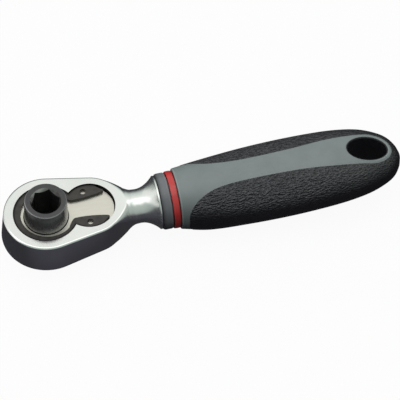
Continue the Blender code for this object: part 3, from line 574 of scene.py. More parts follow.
def rod(name, radius, low, high, steps=ROUND_STEPS, along_x=False, centre_x=0, centre_z=0, top_radius=None):
    """Round or conical rod."""
    top = radius if top_radius is None else top_radius
    made = turned(name, [(0, low), (radius, low), (top, high), (0, high)], steps, along_x)
    for vertex in made.data.vertices:
        vertex.co.x += centre_x
        vertex.co.z += centre_z
    return made


def hex_rod(name, across_flats, low, high, turn=0.0, along_x=False):
    radius = across_flats / sqrt(3)
    angles = [turn + tau * i / 6 for i in range(6)]
    corners = [(radius * cos(angle), radius * sin(angle)) for angle in angles]
    return tube(name, [lay(corners, place, along_x) for place in (low, high)])


def final_mesh(part):
    """Mesh of an object with its modifiers applied."""
    bpy.context.view_layer.update()
    return bpy.data.meshes.new_from_object(part.evaluated_get(bpy.context.evaluated_depsgraph_get()))


def apply_modifiers(part):
    mesh = final_mesh(part)
    old = part.data
    part.modifiers.clear()
    part.data = mesh
    bpy.data.meshes.remove(old)
    mesh.name = part.name


def combine(part, operation, *tools, solver="EXACT"):
    """Boolean a part with tools, apply it and remove the tools."""
    for tool in tools:
        modifier = part.modifiers.new(tool.name, "BOOLEAN")
        modifier.operation = operation
        modifier.solver = solver
        modifier.object = tool
    apply_modifiers(part)
    for tool in tools:
        remove_part(tool)


def round_edges(part, width, segments=2):
    modifier = part.modifiers.new("edges", "BEVEL")
    modifier.width = width
    modifier.segments = segments
    modifier.limit_method = "ANGLE"
    modifier.angle_limit = BEVEL_ANGLE
    apply_modifiers(part)


def dress(part, body, slot, node, *materials):
    """Shade a piece, give it its materials and let it stand for its node on a body."""
    part.data.materials.clear()
    for material in materials:
        part.data.materials.append(material)
    part.data.shade_smooth()
    part.data.set_sharp_from_angle(angle=SHARP_ANGLE)
    normals = part.modifiers.new("normals", "WEIGHTED_NORMAL")
    normals.keep_sharp = True
    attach(part, body)
    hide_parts(node)


# Materials


def connect(tree, socket, value):
    """Link a socket to a node's output, or set it to a value."""
    if isinstance(value, bpy.types.NodeSocket):
        tree.links.new(value, socket)
    else:
        socket.default_value = value


def add_node(tree, kind, *inputs, operation=None, **named):
    """Add a node with its inputs in order or by name, with spaces written as underscores."""
    node = tree.nodes.new("ShaderNode" + kind)
    if operation:
        node.operation = operation
    for i, value in enumerate(inputs):
        connect(tree, node.inputs[i], value)
    for name, value in named.items():
        connect(tree, node.inputs[name.replace("_", " ")], value)
    return node


def add_math(tree, operation, *values):
    return add_node(tree, "Math", *values, operation=operation).outputs["Value"]


def add_measure(tree, operation, *vectors):
    """Length, distance or dot product of vectors."""
    return add_node(tree, "VectorMath", *vectors, operation=operation).outputs["Value"]


def add_coords(tree, kind="Object"):
    return add_node(tree, "TexCoord").outputs[kind]


def add_axis(tree, axis, kind="Object"):
    """Place along one axis of the coordinates."""
    return add_node(tree, "SeparateXYZ", add_coords(tree, kind)).outputs[axis]


def add_range(tree, value, low, high, from_low=NOISE_LOW, from_high=NOISE_HIGH):
    """Value between low and high, from one between from_low and from_high."""
    return add_node(tree, "MapRange", value, from_low, from_high, low, high).outputs["Result"]


def add_place(tree, axis, low, high):
    """Share of the way from one place to another along an axis of the piece."""
    return add_range(tree, add_axis(tree, axis), 0.0, 1.0, low, high)


def add_noise(tree, scale, detail=3.0, stretch=None):
    """Noise in the piece's own coordinates. Scale is in features per metre."""
    vector = add_coords(tree)
    if stretch:
        vector = add_node(tree, "Mapping", Vector=vector, Scale=stretch).outputs["Vector"]
    return add_node(tree, "TexNoise", Vector=vector, Scale=scale, Detail=detail).outputs["Fac"]


def add_ramp(tree, value, *stops):
    """Colour by a value, from places and colours."""
    ramp = add_node(tree, "ValToRGB", value)
    elements = ramp.color_ramp.elements
    while len(elements) < len(stops):
        elements.new(0.5)
    for element, (place, colour) in zip(elements, stops):
        element.position = place
        element.color = (*colour, 1)
    return ramp.outputs["Color"]


def add_greys(tree, value, *stops):
    """Grey by a value, from places and levels."""
    return add_ramp(tree, value, *[(place, (level, level, level)) for place, level in stops])


def add_fade(tree, axis, low, high, *stops):
    """Grey by place along an axis of the piece, from shares of the way and levels."""
    return add_greys(tree, add_place(tree, axis, low, high), *stops)


def add_mix(tree, factor, first, second, blend="MIX"):
    mix = tree.nodes.new("ShaderNodeMix")
    mix.data_type = "RGBA"
    mix.blend_type = blend
    for name, value in (("Factor", factor), ("A", first), ("B", second)):
        connect(tree, mix.inputs[name], value)
    return mix.outputs["Result"]


def add_tone(tree, colour, *tones):
    """Multiply two colours or more."""
    for tone in tones:
        colour = add_mix(tree, 1.0, colour, tone, "MULTIPLY")
    return colour


def add_bump(tree, shader, height, strength, depth):
    bump = add_node(tree, "Bump", Height=height, Strength=strength, Distance=depth)
    tree.links.new(bump.outputs["Normal"], shader.inputs["Normal"])


def new_material(name):
    material = bpy.data.materials.new(name)
    material.use_nodes = True
    return material, material.node_tree, material.node_tree.nodes["Principled BSDF"]


def clouded(name, cloud, low, high, rough, metallic=0.0, bump=None, add_shade=None):
    """Material with a clouded tint from low to high, and a roughness that varies with it.

    cloud is the scale, detail and stretch of its noise. bump is another noise, its strength and its depth.
    add_shade gives the tint's tone by place.
    """
    material, tree, shader = new_material(name)
    shader.inputs["Metallic"].default_value = metallic
    noise = add_noise(tree, *cloud)
    tint = add_ramp(tree, noise, (NOISE_LOW, low), (NOISE_HIGH, high))
    if add_shade:
        tint = add_tone(tree, tint, add_shade(tree))
    tree.links.new(tint, shader.inputs["Base Color"])
    tree.links.new(add_range(tree, noise, *rough), shader.inputs["Roughness"])
    if bump:
        grain, strength, depth = bump
        add_bump(tree, shader, add_noise(tree, *grain), strength, depth)
    return material


def satin_chrome():
    """Chrome plate over a forging: faint clouds in tint and gloss, more satin on the neck."""
    material = clouded(
        "satin_chrome",
        cloud=(160,),
        low=(0.72, 0.745, 0.71),
        high=(0.77, 0.79, 0.752),
        rough=(0.14, 0.19),
        metallic=1.0,
        bump=((5000, 2.0), 0.02, FINE_DEPTH),
    )
    tree = material.node_tree
    roughness = tree.nodes["Principled BSDF"].inputs["Roughness"]
    satin = add_range(tree, add_place(tree, "X", NECK_START_X, ROUND_END_X), 0.0, NECK_SATIN, 0.0, 1.0)
    tree.links.new(add_math(tree, "ADD", roughness.links[0].from_socket, satin), roughness)
    return material


def black_steel(name, low, high, rough, add_shade=None):
    """Black oxide: a brownish black with a mottled satin gloss."""
    gloss = (rough, rough + 0.08)
    grain = ((9000, 2.0), 0.03, FINE_DEPTH)
    return clouded(name, (700, 4.0), low, high, gloss, metallic=0.6, bump=grain, add_shade=add_shade)


def bright_steel(name, add_shade=None):
    """Hardened steel with a film of oil."""
    low = (0.34, 0.33, 0.31)
    high = (0.46, 0.45, 0.43)
    return clouded(name, (900, 4.0), low, high, (0.22, 0.34), metallic=1.0, add_shade=add_shade)


def grey_plastic(name, low, high, rough, add_shade):
    """Moulded plastic with a fine spark-eroded grain."""
    grain = ((4200, 3.0), 0.12, 2 * FINE_DEPTH)
    return clouded(name, (240, 3.0), low, high, (rough, rough + 0.06), bump=grain, add_shade=add_shade)


def soft_black(name, low, high, rough):
    """Smooth black rubber."""
    return clouded(name, (900, 3.0), low, high, (rough, rough + 0.15))


def grip_rubber():
    """Black overmoulded rubber with a leather-like grain of wrinkles that run along the handle."""
    material, tree, shader = new_material("grip_rubber")
    wrinkles = add_noise(tree, 2400, 1.2, stretch=(0.45, 1.0, 1.0))
    pebbles = add_noise(tree, 4000, 1.0, stretch=(0.7, 1.0, 1.0))
    height = add_math(tree, "MULTIPLY_ADD", pebbles, PEBBLE_SHARE, wrinkles)
    # Tone and depth of the grain by place: wear of the grain, with painted shade on the low sides
    wear_and_shade = grip_wear_and_shade(tree)
    tint = add_ramp(tree, height, (0.48, (0.002, 0.002, 0.003)), (0.88, (0.058, 0.058, 0.068)))
    tree.links.new(add_tone(tree, tint, wear_and_shade), shader.inputs["Base Color"])
    gloss = add_range(tree, height, low=0.38, high=0.24, from_low=0.45, from_high=0.9)
    tree.links.new(gloss, shader.inputs["Roughness"])
    shader.inputs["Specular IOR Level"].default_value = 0.75
    add_bump(tree, shader, height, wear_and_shade, GRAIN_DEPTH)
    return material


def grip_wear_and_shade(tree):
    """How crisp and grey the grip's grain is: most along the strip, less on the low sides and at the end.
    The darkening of the low sides is painted shade.
    """
    rise = ((0.0, 0.7), (0.12, 0.6), (0.26, 0.15), (0.60, 0.42), (0.80, 1.0))
    along = ((0.0, 1.0), (0.55, 1.0), (0.85, 0.48), (1.0, 0.35))
    up = add_fade(tree, "Z", GRIP_LOW.z, GRIP_HIGH.z, *rise)
    return add_tone(tree, up, add_fade(tree, "X", GRIP_LOW.x, GRIP_HIGH.x, *along))


def rim_painted_highlight(tree):
    """Tone of the socket's rim: a painted highlight along its rounded edge, round a dark face."""
    stops = ((0.95, 0.28), (0.972, 1.0), (0.992, 0.9), (0.999, 0.19))
    return add_fade(tree, "Z", COVER_HIGH.z, DRIVE_HIGH.z, *stops)


def wall_painted_light(tree):
    """Tone of the socket's wall: painted shade at its foot, then a painted reflection of the bright plate
    that fades upwards, brighter on one side as if lit from there.
    """
    rise = ((0.03, 0.05), (0.06, 1.0), (0.14, 1.0), (0.30, 0.72), (0.55, 0.45), (0.95, 0.28))
    across = ((0.0, 0.16), (0.25, 0.34), (0.5, 0.64), (1.0, 0.68))
    up = add_fade(tree, "Z", COVER_HIGH.z, DRIVE_HIGH.z, *rise)
    return add_tone(tree, up, add_fade(tree, "X", -SOCKET_FOOT_RADIUS, SOCKET_FOOT_RADIUS, *across))


def sink_painted_highlight(tree):
    """Tone of the socket's countersink: a painted highlight on one side."""
    side = add_measure(tree, "DOT_PRODUCT", add_coords(tree), SINK_HIGHLIGHT_SIDE)
    reach = add_range(tree, side, 0.0, 1.0, 0, COUNTERSINK_RADIUS)
    return add_greys(tree, reach, (0.0, 0.15), (0.75, 0.5), (0.9, 1.0))


def ring_painted_shade(tree):
    """Tone of the retaining ring: painted shade towards the walls of the recess."""
    edges = []
    for centre, radius in ((0, RECESS_FRONT_RADIUS), (PIVOT_X, RECESS_REAR_RADIUS)):
        distance = add_measure(tree, "DISTANCE", add_coords(tree), (centre, 0, RING_HIGH.z))
        edges.append(add_range(tree, distance, 0.0, 1.0, radius - RING_SHADE_REACH, radius))
    nearest = add_math(tree, "MINIMUM", *edges)
    return add_greys(tree, nearest, (0.0, 1.0), (0.35, 0.85), (0.65, 0.22), (1.0, 0.1))


def painted_low_shade(tree, reach):
    """Tone of the grey plastic up its height: painted shade on its low sides, full tone on top and beneath.
    """
    stops = ((0.0, 0.9), (0.1, 0.7), (0.2, 0.3), (0.3, 0.4), (0.42, 0.78), (0.55, 1.0))
    return add_fade(tree, "Z", -reach, reach, *stops)


def collar_painted_light(tree):
    """Tone along the collar: painted shade against the neck, and a painted highlight on its edge at the red
    ring.
    """
    stops = ((0.0, 0.15), (0.1, 0.34), (0.28, 0.66), (0.45, 0.78), (0.78, 0.82), (0.86, 1.0))
    along = add_fade(tree, "X", COLLAR_LOW.x, COLLAR_HIGH.x, *stops)
    return add_tone(tree, along, painted_low_shade(tree, COLLAR_RADIUS))


def handle_painted_light(tree):
    """Tone of the handle: a painted highlight at its front edge and on the hang hole's lip towards the end,
    over the painted shade of its low sides.
    """
    plain = HANDLE_TONE
    edge = ((0.0, 0.6), (0.2, 1.0), (0.45, 1.0), (0.7, plain), (1.0, plain))
    front = add_fade(tree, "X", HANDLE_X, HANDLE_X + HANDLE_HIGHLIGHT_REACH, *edge)
    shift = (-HOLE_X * 2 / HOLE_LENGTH, 0, 0)
    scale = (2 / HOLE_LENGTH, 2 / HOLE_WIDTH, 0)
    oval = add_node(tree, "Mapping", Vector=add_coords(tree), Location=shift, Scale=scale)
    reach = add_range(tree, add_measure(tree, "LENGTH", oval.outputs["Vector"]), 0.0, 1.0, *HOLE_LIP_REACH)
    lip = add_greys(tree, reach, (0.0, plain), (0.52, plain), (0.58, 1.0), (0.66, 1.0), (0.76, plain))
    end = add_place(tree, "X", HOLE_X, HOLE_X + HOLE_LENGTH / 2)
    hole_lip_highlight = add_mix(tree, end, (plain, plain, plain, 1), lip)
    return add_tone(tree, front, hole_lip_highlight, painted_low_shade(tree, HANDLE_HALF_HEIGHT))


CHROME = satin_chrome()
COVER_MARKS = (2600, 4.0, (0.12, 1.0, 1.0))
COVER_STEEL = clouded(
    "plain_steel",
    cloud=COVER_MARKS,
    low=(0.60, 0.585, 0.505),
    high=(0.64, 0.625, 0.545),
    rough=(0.28, 0.38),
    metallic=1.0,
    bump=(COVER_MARKS, 0.03, FINE_DEPTH),
)
# The socket's rim, wall and countersink steels carry painted light: a highlight on the rim's edge, shade and
# a reflection on the wall, a highlight on one side of the countersink
RIM_BLACK = black_steel("rim_black", (0.35, 0.345, 0.357), (0.38, 0.375, 0.387), 0.25, rim_painted_highlight)
WALL_BLACK = black_steel("wall_black", (0.70, 0.69, 0.714), (0.76, 0.75, 0.774), 0.25, wall_painted_light)
SINK_STEEL = bright_steel("sink_steel", sink_painted_highlight)
# Near-black steel inside the hexagon and the magnet pocket: painted shade
BORE_SHADE = black_steel("bore_black", (0.025, 0.024, 0.024), (0.040, 0.039, 0.038), 0.50)
RING_BLACK = black_steel("ring_black", (0.048, 0.044, 0.040), (0.072, 0.066, 0.060), 0.40, ring_painted_shade)
LEVER_BLACK = black_steel("lever_black", (0.050, 0.050, 0.050), (0.080, 0.078, 0.076), 0.40)
# Near-black steel on the walls of the recess: painted shade
RECESS_SHADE = black_steel("recess_steel", (0.012, 0.012, 0.011), (0.022, 0.021, 0.020), 0.50)
INNER_STEEL = bright_steel("inner_steel")
# The collar and handle carry painted shade on their low sides, and painted highlights on some edges
COLLAR_GREY = grey_plastic("collar_grey", (0.218, 0.229, 0.244), (0.250, 0.262, 0.276), 0.34, collar_painted_light)
HANDLE_GREY = grey_plastic("handle_grey", (0.380, 0.441, 0.440), (0.426, 0.492, 0.488), 0.40, handle_painted_light)
MARKER_RED = clouded(
    "red_plastic",
    cloud=(420, 3.0),
    low=(0.60, 0.044, 0.042),
    high=(0.68, 0.056, 0.053),
    rough=(0.19, 0.26),
    bump=((4000, 2.0), 0.05, FINE_DEPTH),
)
GRIP_BLACK = grip_rubber()
RUBBER_BLACK = soft_black("ring_rubber", (0.015, 0.015, 0.015), (0.03, 0.03, 0.03), 0.6)
# Black rubber of the hang hole's lining, made darker than the grip to paint the shade deep in the hole
HOLE_LINING_SHADE = soft_black("hole_rubber", (0.004, 0.004, 0.006), (0.008, 0.008, 0.011), 0.45)


# Head


def neck_root():
    """Half width of the neck along X, from the head's rear arc to just before the waist."""
    return [
        (NECK_END_X - NECK_LENGTH * share, NECK_RADIUS + NECK_ROOT_FLARE * flare)
        for share, flare in NECK_ROOT_SHAPE
    ]


def neck_flare():
    """Half width of the neck along X, from its waist up the flare to the narrow land at its rim."""
    land_x = NECK_END_X - NECK_LAND
    length = NECK_LENGTH * NECK_WAIST_SHARE - NECK_LAND
    flare = NECK_RIM_RADIUS - NECK_LAND_EDGE - NECK_RADIUS
    points = []
    for angle in spread(0, pi / 2, NECK_FLARE_STEPS):
        share = sin(angle)
        rise = 1 - (1 - share**2) ** NECK_FLARE_POWER
        points.append((land_x - length * (1 - share), NECK_RADIUS + flare * rise))
    for inset, along in quarter(EDGE_STEPS)[1:]:
        points.append((land_x + NECK_LAND_EDGE * along, NECK_RIM_RADIUS - NECK_LAND_EDGE * inset))
    return points + [(NECK_END_X, NECK_RIM_RADIUS)]


def head_outline(front_radius):
    """Half outline of the head and neck in plan, from the front to the neck's rim."""
    turn = acos((front_radius - HEAD_REAR_RADIUS) / PIVOT_X)
    rear_end = acos((NECK_START_X - PIVOT_X) / HEAD_REAR_RADIUS)
    front = arc(0, front_radius, pi, turn, HEAD_FRONT_STEPS)
    rear = arc(PIVOT_X, HEAD_REAR_RADIUS, turn, rear_end, HEAD_REAR_STEPS)
    straight = []
    for i in range(1, HEAD_SIDE_STEPS):
        straight.append(tuple(Vector(front[-1]).lerp(Vector(rear[0]), i / HEAD_SIDE_STEPS)))
    flare = neck_flare()
    root = smooth_line([rear[-2], rear[-1]] + neck_root() + flare[:1], NECK_ROOT_STEPS)
    return front + straight + rear[:-1] + root[NECK_ROOT_STEPS:-1] + flare


def head_section(low, high, across):
    """One side of the section at a place on the outline, from the bottom middle round to the top."""
    x, half_width = low
    taper = min(max((x - BLEND_START_X) / (TIP_X - BLEND_START_X), 0), 1) ** TIP_POWER
    narrow = 1 - (1 - taper) ** TIP_ROUNDING
    rounding = ease(x, BLEND_START_X, BLEND_END_X) ** BLEND_POWER
    height = HEAD_TOP + (half_width - HEAD_TOP) * ease(x, ROUND_START_X, ROUND_END_X)
    dip_end = ease(x, ROUND_END_X, NECK_END_X - NECK_LAND)
    height -= NECK_DIP * ease(x, ROUND_START_X, DIP_START_X) * (1 - dip_end)
    section = []
    corner = quarter(CORNER_STEPS)
    for edge, side in ((HEAD_BOTTOM_EDGE, -1), (HEAD_TOP_EDGE, 1)):
        wide = edge + (half_width - edge) * narrow
        tall = edge + (height - edge) * rounding
        for inset, drop in corner if side < 0 else reversed(corner):
            z = side * (height - tall * drop)
            place = Vector(low).lerp(Vector(high), (z + height) / (2 * height))
            place -= across * wide * inset
            section.append((place.x, max(place.y, 0), z))
    return section


def head_rows():
    """Closed sections of the head and neck, from the front to the neck's rim."""
    low_line = head_outline(HEAD_FRONT_RADIUS)
    high_line = head_outline(HEAD_FRONT_RADIUS - HEAD_FRONT_DRAFT)
    rows = []
    for i, (low, high) in enumerate(zip(low_line, high_line)):
        along = line_step(low_line, i)
        across = Vector((-along.y, along.x)).normalized() if i else Vector((-1, 0))
        across = across.lerp(Vector((0, 1)), ease(low[0], PIVOT_X, NECK_SQUARE_X)).normalized()
        row = head_section(low, high, across)
        rows.append(row + [(x, -y, z) for x, y, z in reversed(row)])
    return rows


def build_head():
    head = tube("head_forging", head_rows(), ends=(-1,))
    tang = hex_rod("tang", TANG_ACROSS_FLATS, NECK_END_X - TOOL_REACH, HEAD_HIGH.x, along_x=True)
    combine(head, "UNION", tang)
    recess = keyhole(RECESS_FRONT_RADIUS, RECESS_REAR_RADIUS, PIVOT_X)
    cavity = keyhole(RECESS_FRONT_RADIUS - SHELF, RECESS_REAR_RADIUS - PAWL_SHELF, PIVOT_X)
    groove_radius = RECESS_FRONT_RADIUS + RING_GROOVE_DEPTH
    bore_low = HEAD_BOTTOM - TOOL_REACH
    bore_high = FLOOR_TOP + TOOL_REACH
    combine(
        head,
        "DIFFERENCE",
        prism("recess", [recess], COVER_LOW.z - SEAT_GAP, HEAD_TOP + TOOL_REACH),
        prism("cavity", [cavity], FLOOR_TOP, HEAD_TOP),
        rod("groove", groove_radius, RING_LOW.z - SEAT_GAP, RING_HIGH.z + SEAT_GAP),
        rod("journal_bore", JOURNAL_RADIUS + RUNNING_GAP, bore_low, bore_high),
        rod("lever_bore", LEVER_BORE_RADIUS, bore_low, bore_high, centre_x=PIVOT_X),
    )
    dress(head, "body", "head", "head", CHROME, RECESS_SHADE)
    paint_recess_shade(head)


def paint_recess_shade(head):
    """Give the walls of the recess their near-black steel: painted shade where the walls stand in shadow."""
    for face in head.data.polygons:
        x, y, z = face.center
        front = hypot(x, y) < RECESS_FRONT_RADIUS + RING_GROOVE_DEPTH + SEAT_GAP
        rear = hypot(x - PIVOT_X, y) < RECESS_REAR_RADIUS + SEAT_GAP
        if (front or rear) and FLOOR_TOP - SEAT_GAP < z < HEAD_TOP - SEAT_GAP / 2:
            face.material_index = 1


# Drive, cover plate, retaining ring and lever


def gear_outline():
    pitch = tau / TOOTH_COUNT
    points = []
    for tooth in range(TOOTH_COUNT):
        for radius, turn in ((GEAR_TIP_RADIUS, tooth), (GEAR_TIP_RADIUS - TOOTH_DEPTH, tooth + 0.5)):
            points.append((radius * cos(turn * pitch), radius * sin(turn * pitch)))
    return points


def rounded(radius, height, edge, side):
    """Quarter round at the outer edge of a turned end: side 1 for a top, -1 for a bottom."""
    return [(radius - edge * inset, height - side * edge * drop) for inset, drop in quarter(EDGE_STEPS)]


def build_drive():
    top = DRIVE_HIGH.z
    profile = [(0, top)] + rounded(SOCKET_RADIUS, top, SOCKET_EDGE, 1)
    profile += [
        (SOCKET_FOOT_RADIUS, COVER_HIGH.z),
        (SOCKET_FOOT_RADIUS, SOCKET_LOW),
        (JOURNAL_RADIUS, SOCKET_LOW),
        (JOURNAL_RADIUS, DRIVE_LOW.z + JOURNAL_CHAMFER),
        (JOURNAL_RADIUS - JOURNAL_CHAMFER, DRIVE_LOW.z),
        (0, DRIVE_LOW.z),
    ]
    drive = turned("drive_socket", profile)
    combine(drive, "UNION", prism("teeth", [gear_outline()], GEAR_LOW, GEAR_HIGH))
    hex_radius = HEX_ACROSS_FLATS / 2
    sink_low = top - (COUNTERSINK_RADIUS - hex_radius)
    high = top + TOOL_REACH
    combine(
        drive,
        "DIFFERENCE",
        hex_rod("hexagon", HEX_ACROSS_FLATS, -SEAT_GAP, high, turn=HEX_TURN),
        rod("countersink", hex_radius, sink_low, high, top_radius=COUNTERSINK_RADIUS + TOOL_REACH),
        rod("magnet_pocket", MAGNET_POCKET_RADIUS, MAGNET_POCKET_LOW, TOOL_REACH, steps=POCKET_STEPS),
    )
    dress(drive, "drive", "drive", "drive_gear", RIM_BLACK, BORE_SHADE, SINK_STEEL, WALL_BLACK)
    paint_drive(drive, sink_low)


def paint_drive(drive, sink_low):
    """Give the drive's rim, bore, countersink and wall their own steels. The bore's near-black is painted
    shade; the others carry painted light.
    """
    rim, bore, sink, wall = range(4)
    for face in drive.data.polygons:
        x, y, z = face.center
        upright = abs(face.normal.z) < UPRIGHT_NORMAL_Z
        face.material_index = rim
        if hypot(x, y) < COUNTERSINK_RADIUS and -SEAT_GAP < z < DRIVE_HIGH.z - WELD:
            face.material_index = bore if upright or z < sink_low else sink
        elif upright and z > COVER_LOW.z:
            face.material_index = wall


def build_cover():
    outline = keyhole(RECESS_FRONT_RADIUS - SEAT_GAP, RECESS_REAR_RADIUS - COVER_EDGE_GAP, PIVOT_X)
    hole = circle(SOCKET_FOOT_RADIUS + COVER_HOLE_GAP)
    cover = prism("cover_fan", [outline, hole], COVER_LOW.z, COVER_HIGH.z)
    round_edges(cover, PLATE_EDGE)
    dress(cover, "body", "cover", "cover_plate", COVER_STEEL)


def build_ring():
    """Sprung ring, open towards the handle, with a leaf-shaped lug at each end."""
    outer = RECESS_FRONT_RADIUS + RING_GROOVE_DEPTH - SEAT_GAP
    shoulder = RECESS_FRONT_RADIUS - SEAT_GAP
    inner = RECESS_FRONT_RADIUS - RING_WIDTH + RING_INNER_SHIFT
    lug_radius = RECESS_REAR_RADIUS - LUG_EDGE_GAP
    cusp_x = cusp(RECESS_FRONT_RADIUS, RECESS_REAR_RADIUS, PIVOT_X)
    cusp_turn = acos(cusp_x / RECESS_FRONT_RADIUS)
    ring_end = cusp_turn + RING_SHOULDER
    lug_start = acos((cusp_x - PIVOT_X) / RECESS_REAR_RADIUS)
    tip_x = cusp_x + LUG_LENGTH
    half = arc(0, outer, pi, ring_end, RING_STEPS)
    half += arc(0, shoulder, ring_end, cusp_turn + LUG_CUSP_CLEAR, SHOULDER_STEPS)
    lug_end = lug_start * LUG_ARC_END
    half += arc(PIVOT_X, lug_radius, lug_start - LUG_CUSP_CLEAR, lug_end, LUG_ARC_STEPS)
    leaf = [(tip_x - LUG_LENGTH * share, LUG_INNER_OFFSET + height) for share, height in LUG_SHAPE]
    half += smooth_line([half[-1]] + leaf, LUG_STEPS)[1:]
    half += arc(RING_INNER_SHIFT, inner, RING_INNER_END, pi, RING_STEPS)
    outline = half[:-1] + [(x, -y) for x, y in reversed(half)][:-1]
    hole_x = cusp_x + LUG_HOLE_DISTANCE
    hole_y = (LUG_INNER_OFFSET + RECESS_REAR_RADIUS) / 2
    holes = [circle(LUG_HOLE_RADIUS, LUG_HOLE_STEPS, hole_x, side * hole_y) for side in (1, -1)]
    ring = prism("spring_ring", [outline] + holes, RING_LOW.z, RING_HIGH.z)
    round_edges(ring, PLATE_EDGE)
    dress(ring, "body", "ring", "retaining_ring", RING_BLACK)


def build_stem():
    """Stem of the lever, with a groove for its clip."""
    low = (LEVER_LOW.z + LEVER_TOP) / 2
    groove_low = CLIP_LOW.z - SEAT_GAP
    groove_high = CLIP_HIGH.z + SEAT_GAP
    groove_radius = STEM_RADIUS - CLIP_GROOVE_DEPTH
    profile = [
        (0, low),
        (STEM_RADIUS, low),
        (STEM_RADIUS, groove_low),
        (groove_radius, groove_low),
        (groove_radius, groove_high),
        (STEM_RADIUS, groove_high),
        (STEM_RADIUS, LEVER_HIGH.z),
        (0, LEVER_HIGH.z),
    ]
    return turned("stem", profile, SMALL_ROUND_STEPS)


def build_lever():
    """Reversing lever with its grooved stem and the plunger's bore, swung to one side."""
    outline = hull(LEVER_HUB_RADIUS, LEVER_TIP_RADIUS, LEVER_LENGTH - LEVER_TIP_RADIUS)
    lever = prism("thumb_lever", [outline], LEVER_LOW.z, LEVER_TOP)
    round_edges(lever, LEVER_EDGE, segments=4)
    combine(lever, "UNION", build_stem(), solver="MANIFOLD")
    bore_radius = (PLUNGER_HIGH.z - PLUNGER_LOW.z + RUNNING_GAP) / 2
    bore_end = STEM_RADIUS + RUNNING_GAP
    bore_start = bore_end - PLUNGER_BORE_DEPTH
    middle = (PLUNGER_LOW.z + PLUNGER_HIGH.z) / 2
    bore = rod("bore", bore_radius, bore_start, bore_end, SMALL_ROUND_STEPS, along_x=True, centre_z=middle)
    combine(lever, "DIFFERENCE", bore)
    turn = Vector((cos(LEVER_REST_TURN), sin(LEVER_REST_TURN)))
    for vertex in lever.data.vertices:
        x, y, z = vertex.co
        vertex.co = (PIVOT_X + turn.x * x - turn.y * y, turn.y * x + turn.x * y, z)
    dress(lever, "lever", "lever", "reversing_lever", LEVER_BLACK)


# Collar, marker ring and handle


def tang_bore(low, high):
    """Tool for the hexagonal bore that the tang fills."""
    return hex_rod("tang_bore", TANG_ACROSS_FLATS + 2 * SEAT_GAP, low, high, along_x=True)


def build_collar():
    low = COLLAR_LOW.x
    high = COLLAR_HIGH.x
    profile = [(0, high)] + rounded(COLLAR_RADIUS, high, COLLAR_EDGE / 2, 1)
    profile += list(reversed(rounded(COLLAR_RADIUS, low, COLLAR_EDGE, -1))) + [(0, low)]
    collar = turned("collar_band", profile, along_x=True)
    combine(collar, "DIFFERENCE", tang_bore(low - TOOL_REACH, high + TOOL_REACH))
    dress(collar, "body", "collar", "front_collar", COLLAR_GREY)


def build_marker():
    low = MARKER_LOW.x + MARKER_SEAM
    length = MARKER_HIGH.x - MARKER_SEAM - low
    profile = []
    for i in range(MARKER_STEPS + 1):
        crown = MARKER_CROWN * (2 * i / MARKER_STEPS - 1) ** MARKER_CROWN_POWER
        profile.append((MARKER_RADIUS - crown, low + length * i / MARKER_STEPS))
    inner = MARKER_RADIUS - MARKER_WALL
    profile = [(inner, low)] + profile + [(inner, low + length), (inner, low)]
    marker = turned("marker_band", profile, along_x=True)
    dress(marker, "body", "marker", "marker_ring", MARKER_RED)


def handle_half(share):
    """Half width, half height and lift of the handle's section."""
    greatest = (HANDLE_HALF_WIDTH, HANDLE_HALF_HEIGHT, HANDLE_LIFT)
    return [size * shape_value(HANDLE_SHAPE, share, i) for i, size in enumerate(greatest, 1)]


def signed_power(value, power):
    return copysign(abs(value) ** power, value)


def section_point(x, half_width, half_height, lift, angle, out=0.0):
    """Point on the handle's oval section and its outward direction there, moved out by a distance."""
    across = signed_power(cos(angle), 2 / SECTION_POWER)
    up = signed_power(sin(angle), 2 / SECTION_POWER)
    normal_y = signed_power(across, SECTION_POWER - 1) / half_width
    normal_z = signed_power(up, SECTION_POWER - 1) / half_height
    normal = Vector((0, normal_y, normal_z)).normalized()
    return Vector((x, half_width * across, lift + half_height * up)) + normal * out, normal


def strip_line():
    """Half width of the grey strip along X, from the front to its round end."""
    end_width = HOLE_WIDTH / 2 + HOLE_RIM
    points = [(HANDLE_X + HANDLE_LENGTH * share, STRIP_HALF_WIDTH * width) for share, width in STRIP_SHAPE]
    line = smooth_line(points + [(HOLE_X, end_width)], STRIP_STEPS)
    end_length = STRIP_END_X - HOLE_X
    for angle in spread(0, pi / 2, STRIP_END_STEPS)[1:]:
        line.append((HOLE_X + end_length * sin(angle), end_width * cos(angle)))
    return line


def handle_height(x, y, side):
    """Height of the handle's upper (side 1) or lower (side -1) surface over a place in plan."""
    half_width, half_height, lift = handle_half((x - HANDLE_X) / HANDLE_LENGTH)
    reach = min(abs(y) / half_width, 1)
    return lift + side * half_height * (1 - reach**SECTION_POWER) ** (1 / SECTION_POWER)


def hole_ring(grow, depth, side):
    """Ring of points in the hang hole, wider than its throat by grow and below the surface by depth."""
    ring = []
    for x, y in circle(1, HOLE_ROUND):
        place_x = HOLE_X + (HOLE_LENGTH / 2 + grow) * x
        place_y = (HOLE_WIDTH / 2 + grow) * y
        ring.append((place_x, place_y, handle_height(place_x, place_y, side) - side * depth))
    return ring


def hole_rows(start, out, inset=0.0):
    """Rings through the hang hole between rims rounded over to both faces.

    start is the angle at which the rounding begins and out the height that the ends stand proud by.
    """
    rows = []
    for side in (1, -1):
        face = [hole_ring(HOLE_ROUNDING, -out, side)] if out else []
        for grow, depth in quarter(HOLE_EDGE_STEPS, start):
            face.append(hole_ring(HOLE_ROUNDING * grow - inset, HOLE_ROUNDING * depth, side))
        rows += face if side > 0 else list(reversed(face))
    return rows


def handle_stations():
    """Shares of the handle's length behind its rounded front edge, closer together towards its end."""
    edge = HANDLE_EDGE / HANDLE_LENGTH
    left = [(1 - i / HANDLE_STEPS) ** HANDLE_STEP_POWER for i in range(HANDLE_STEPS + 1)]
    return [edge + (1 - edge) * (1 - share) for share in left]


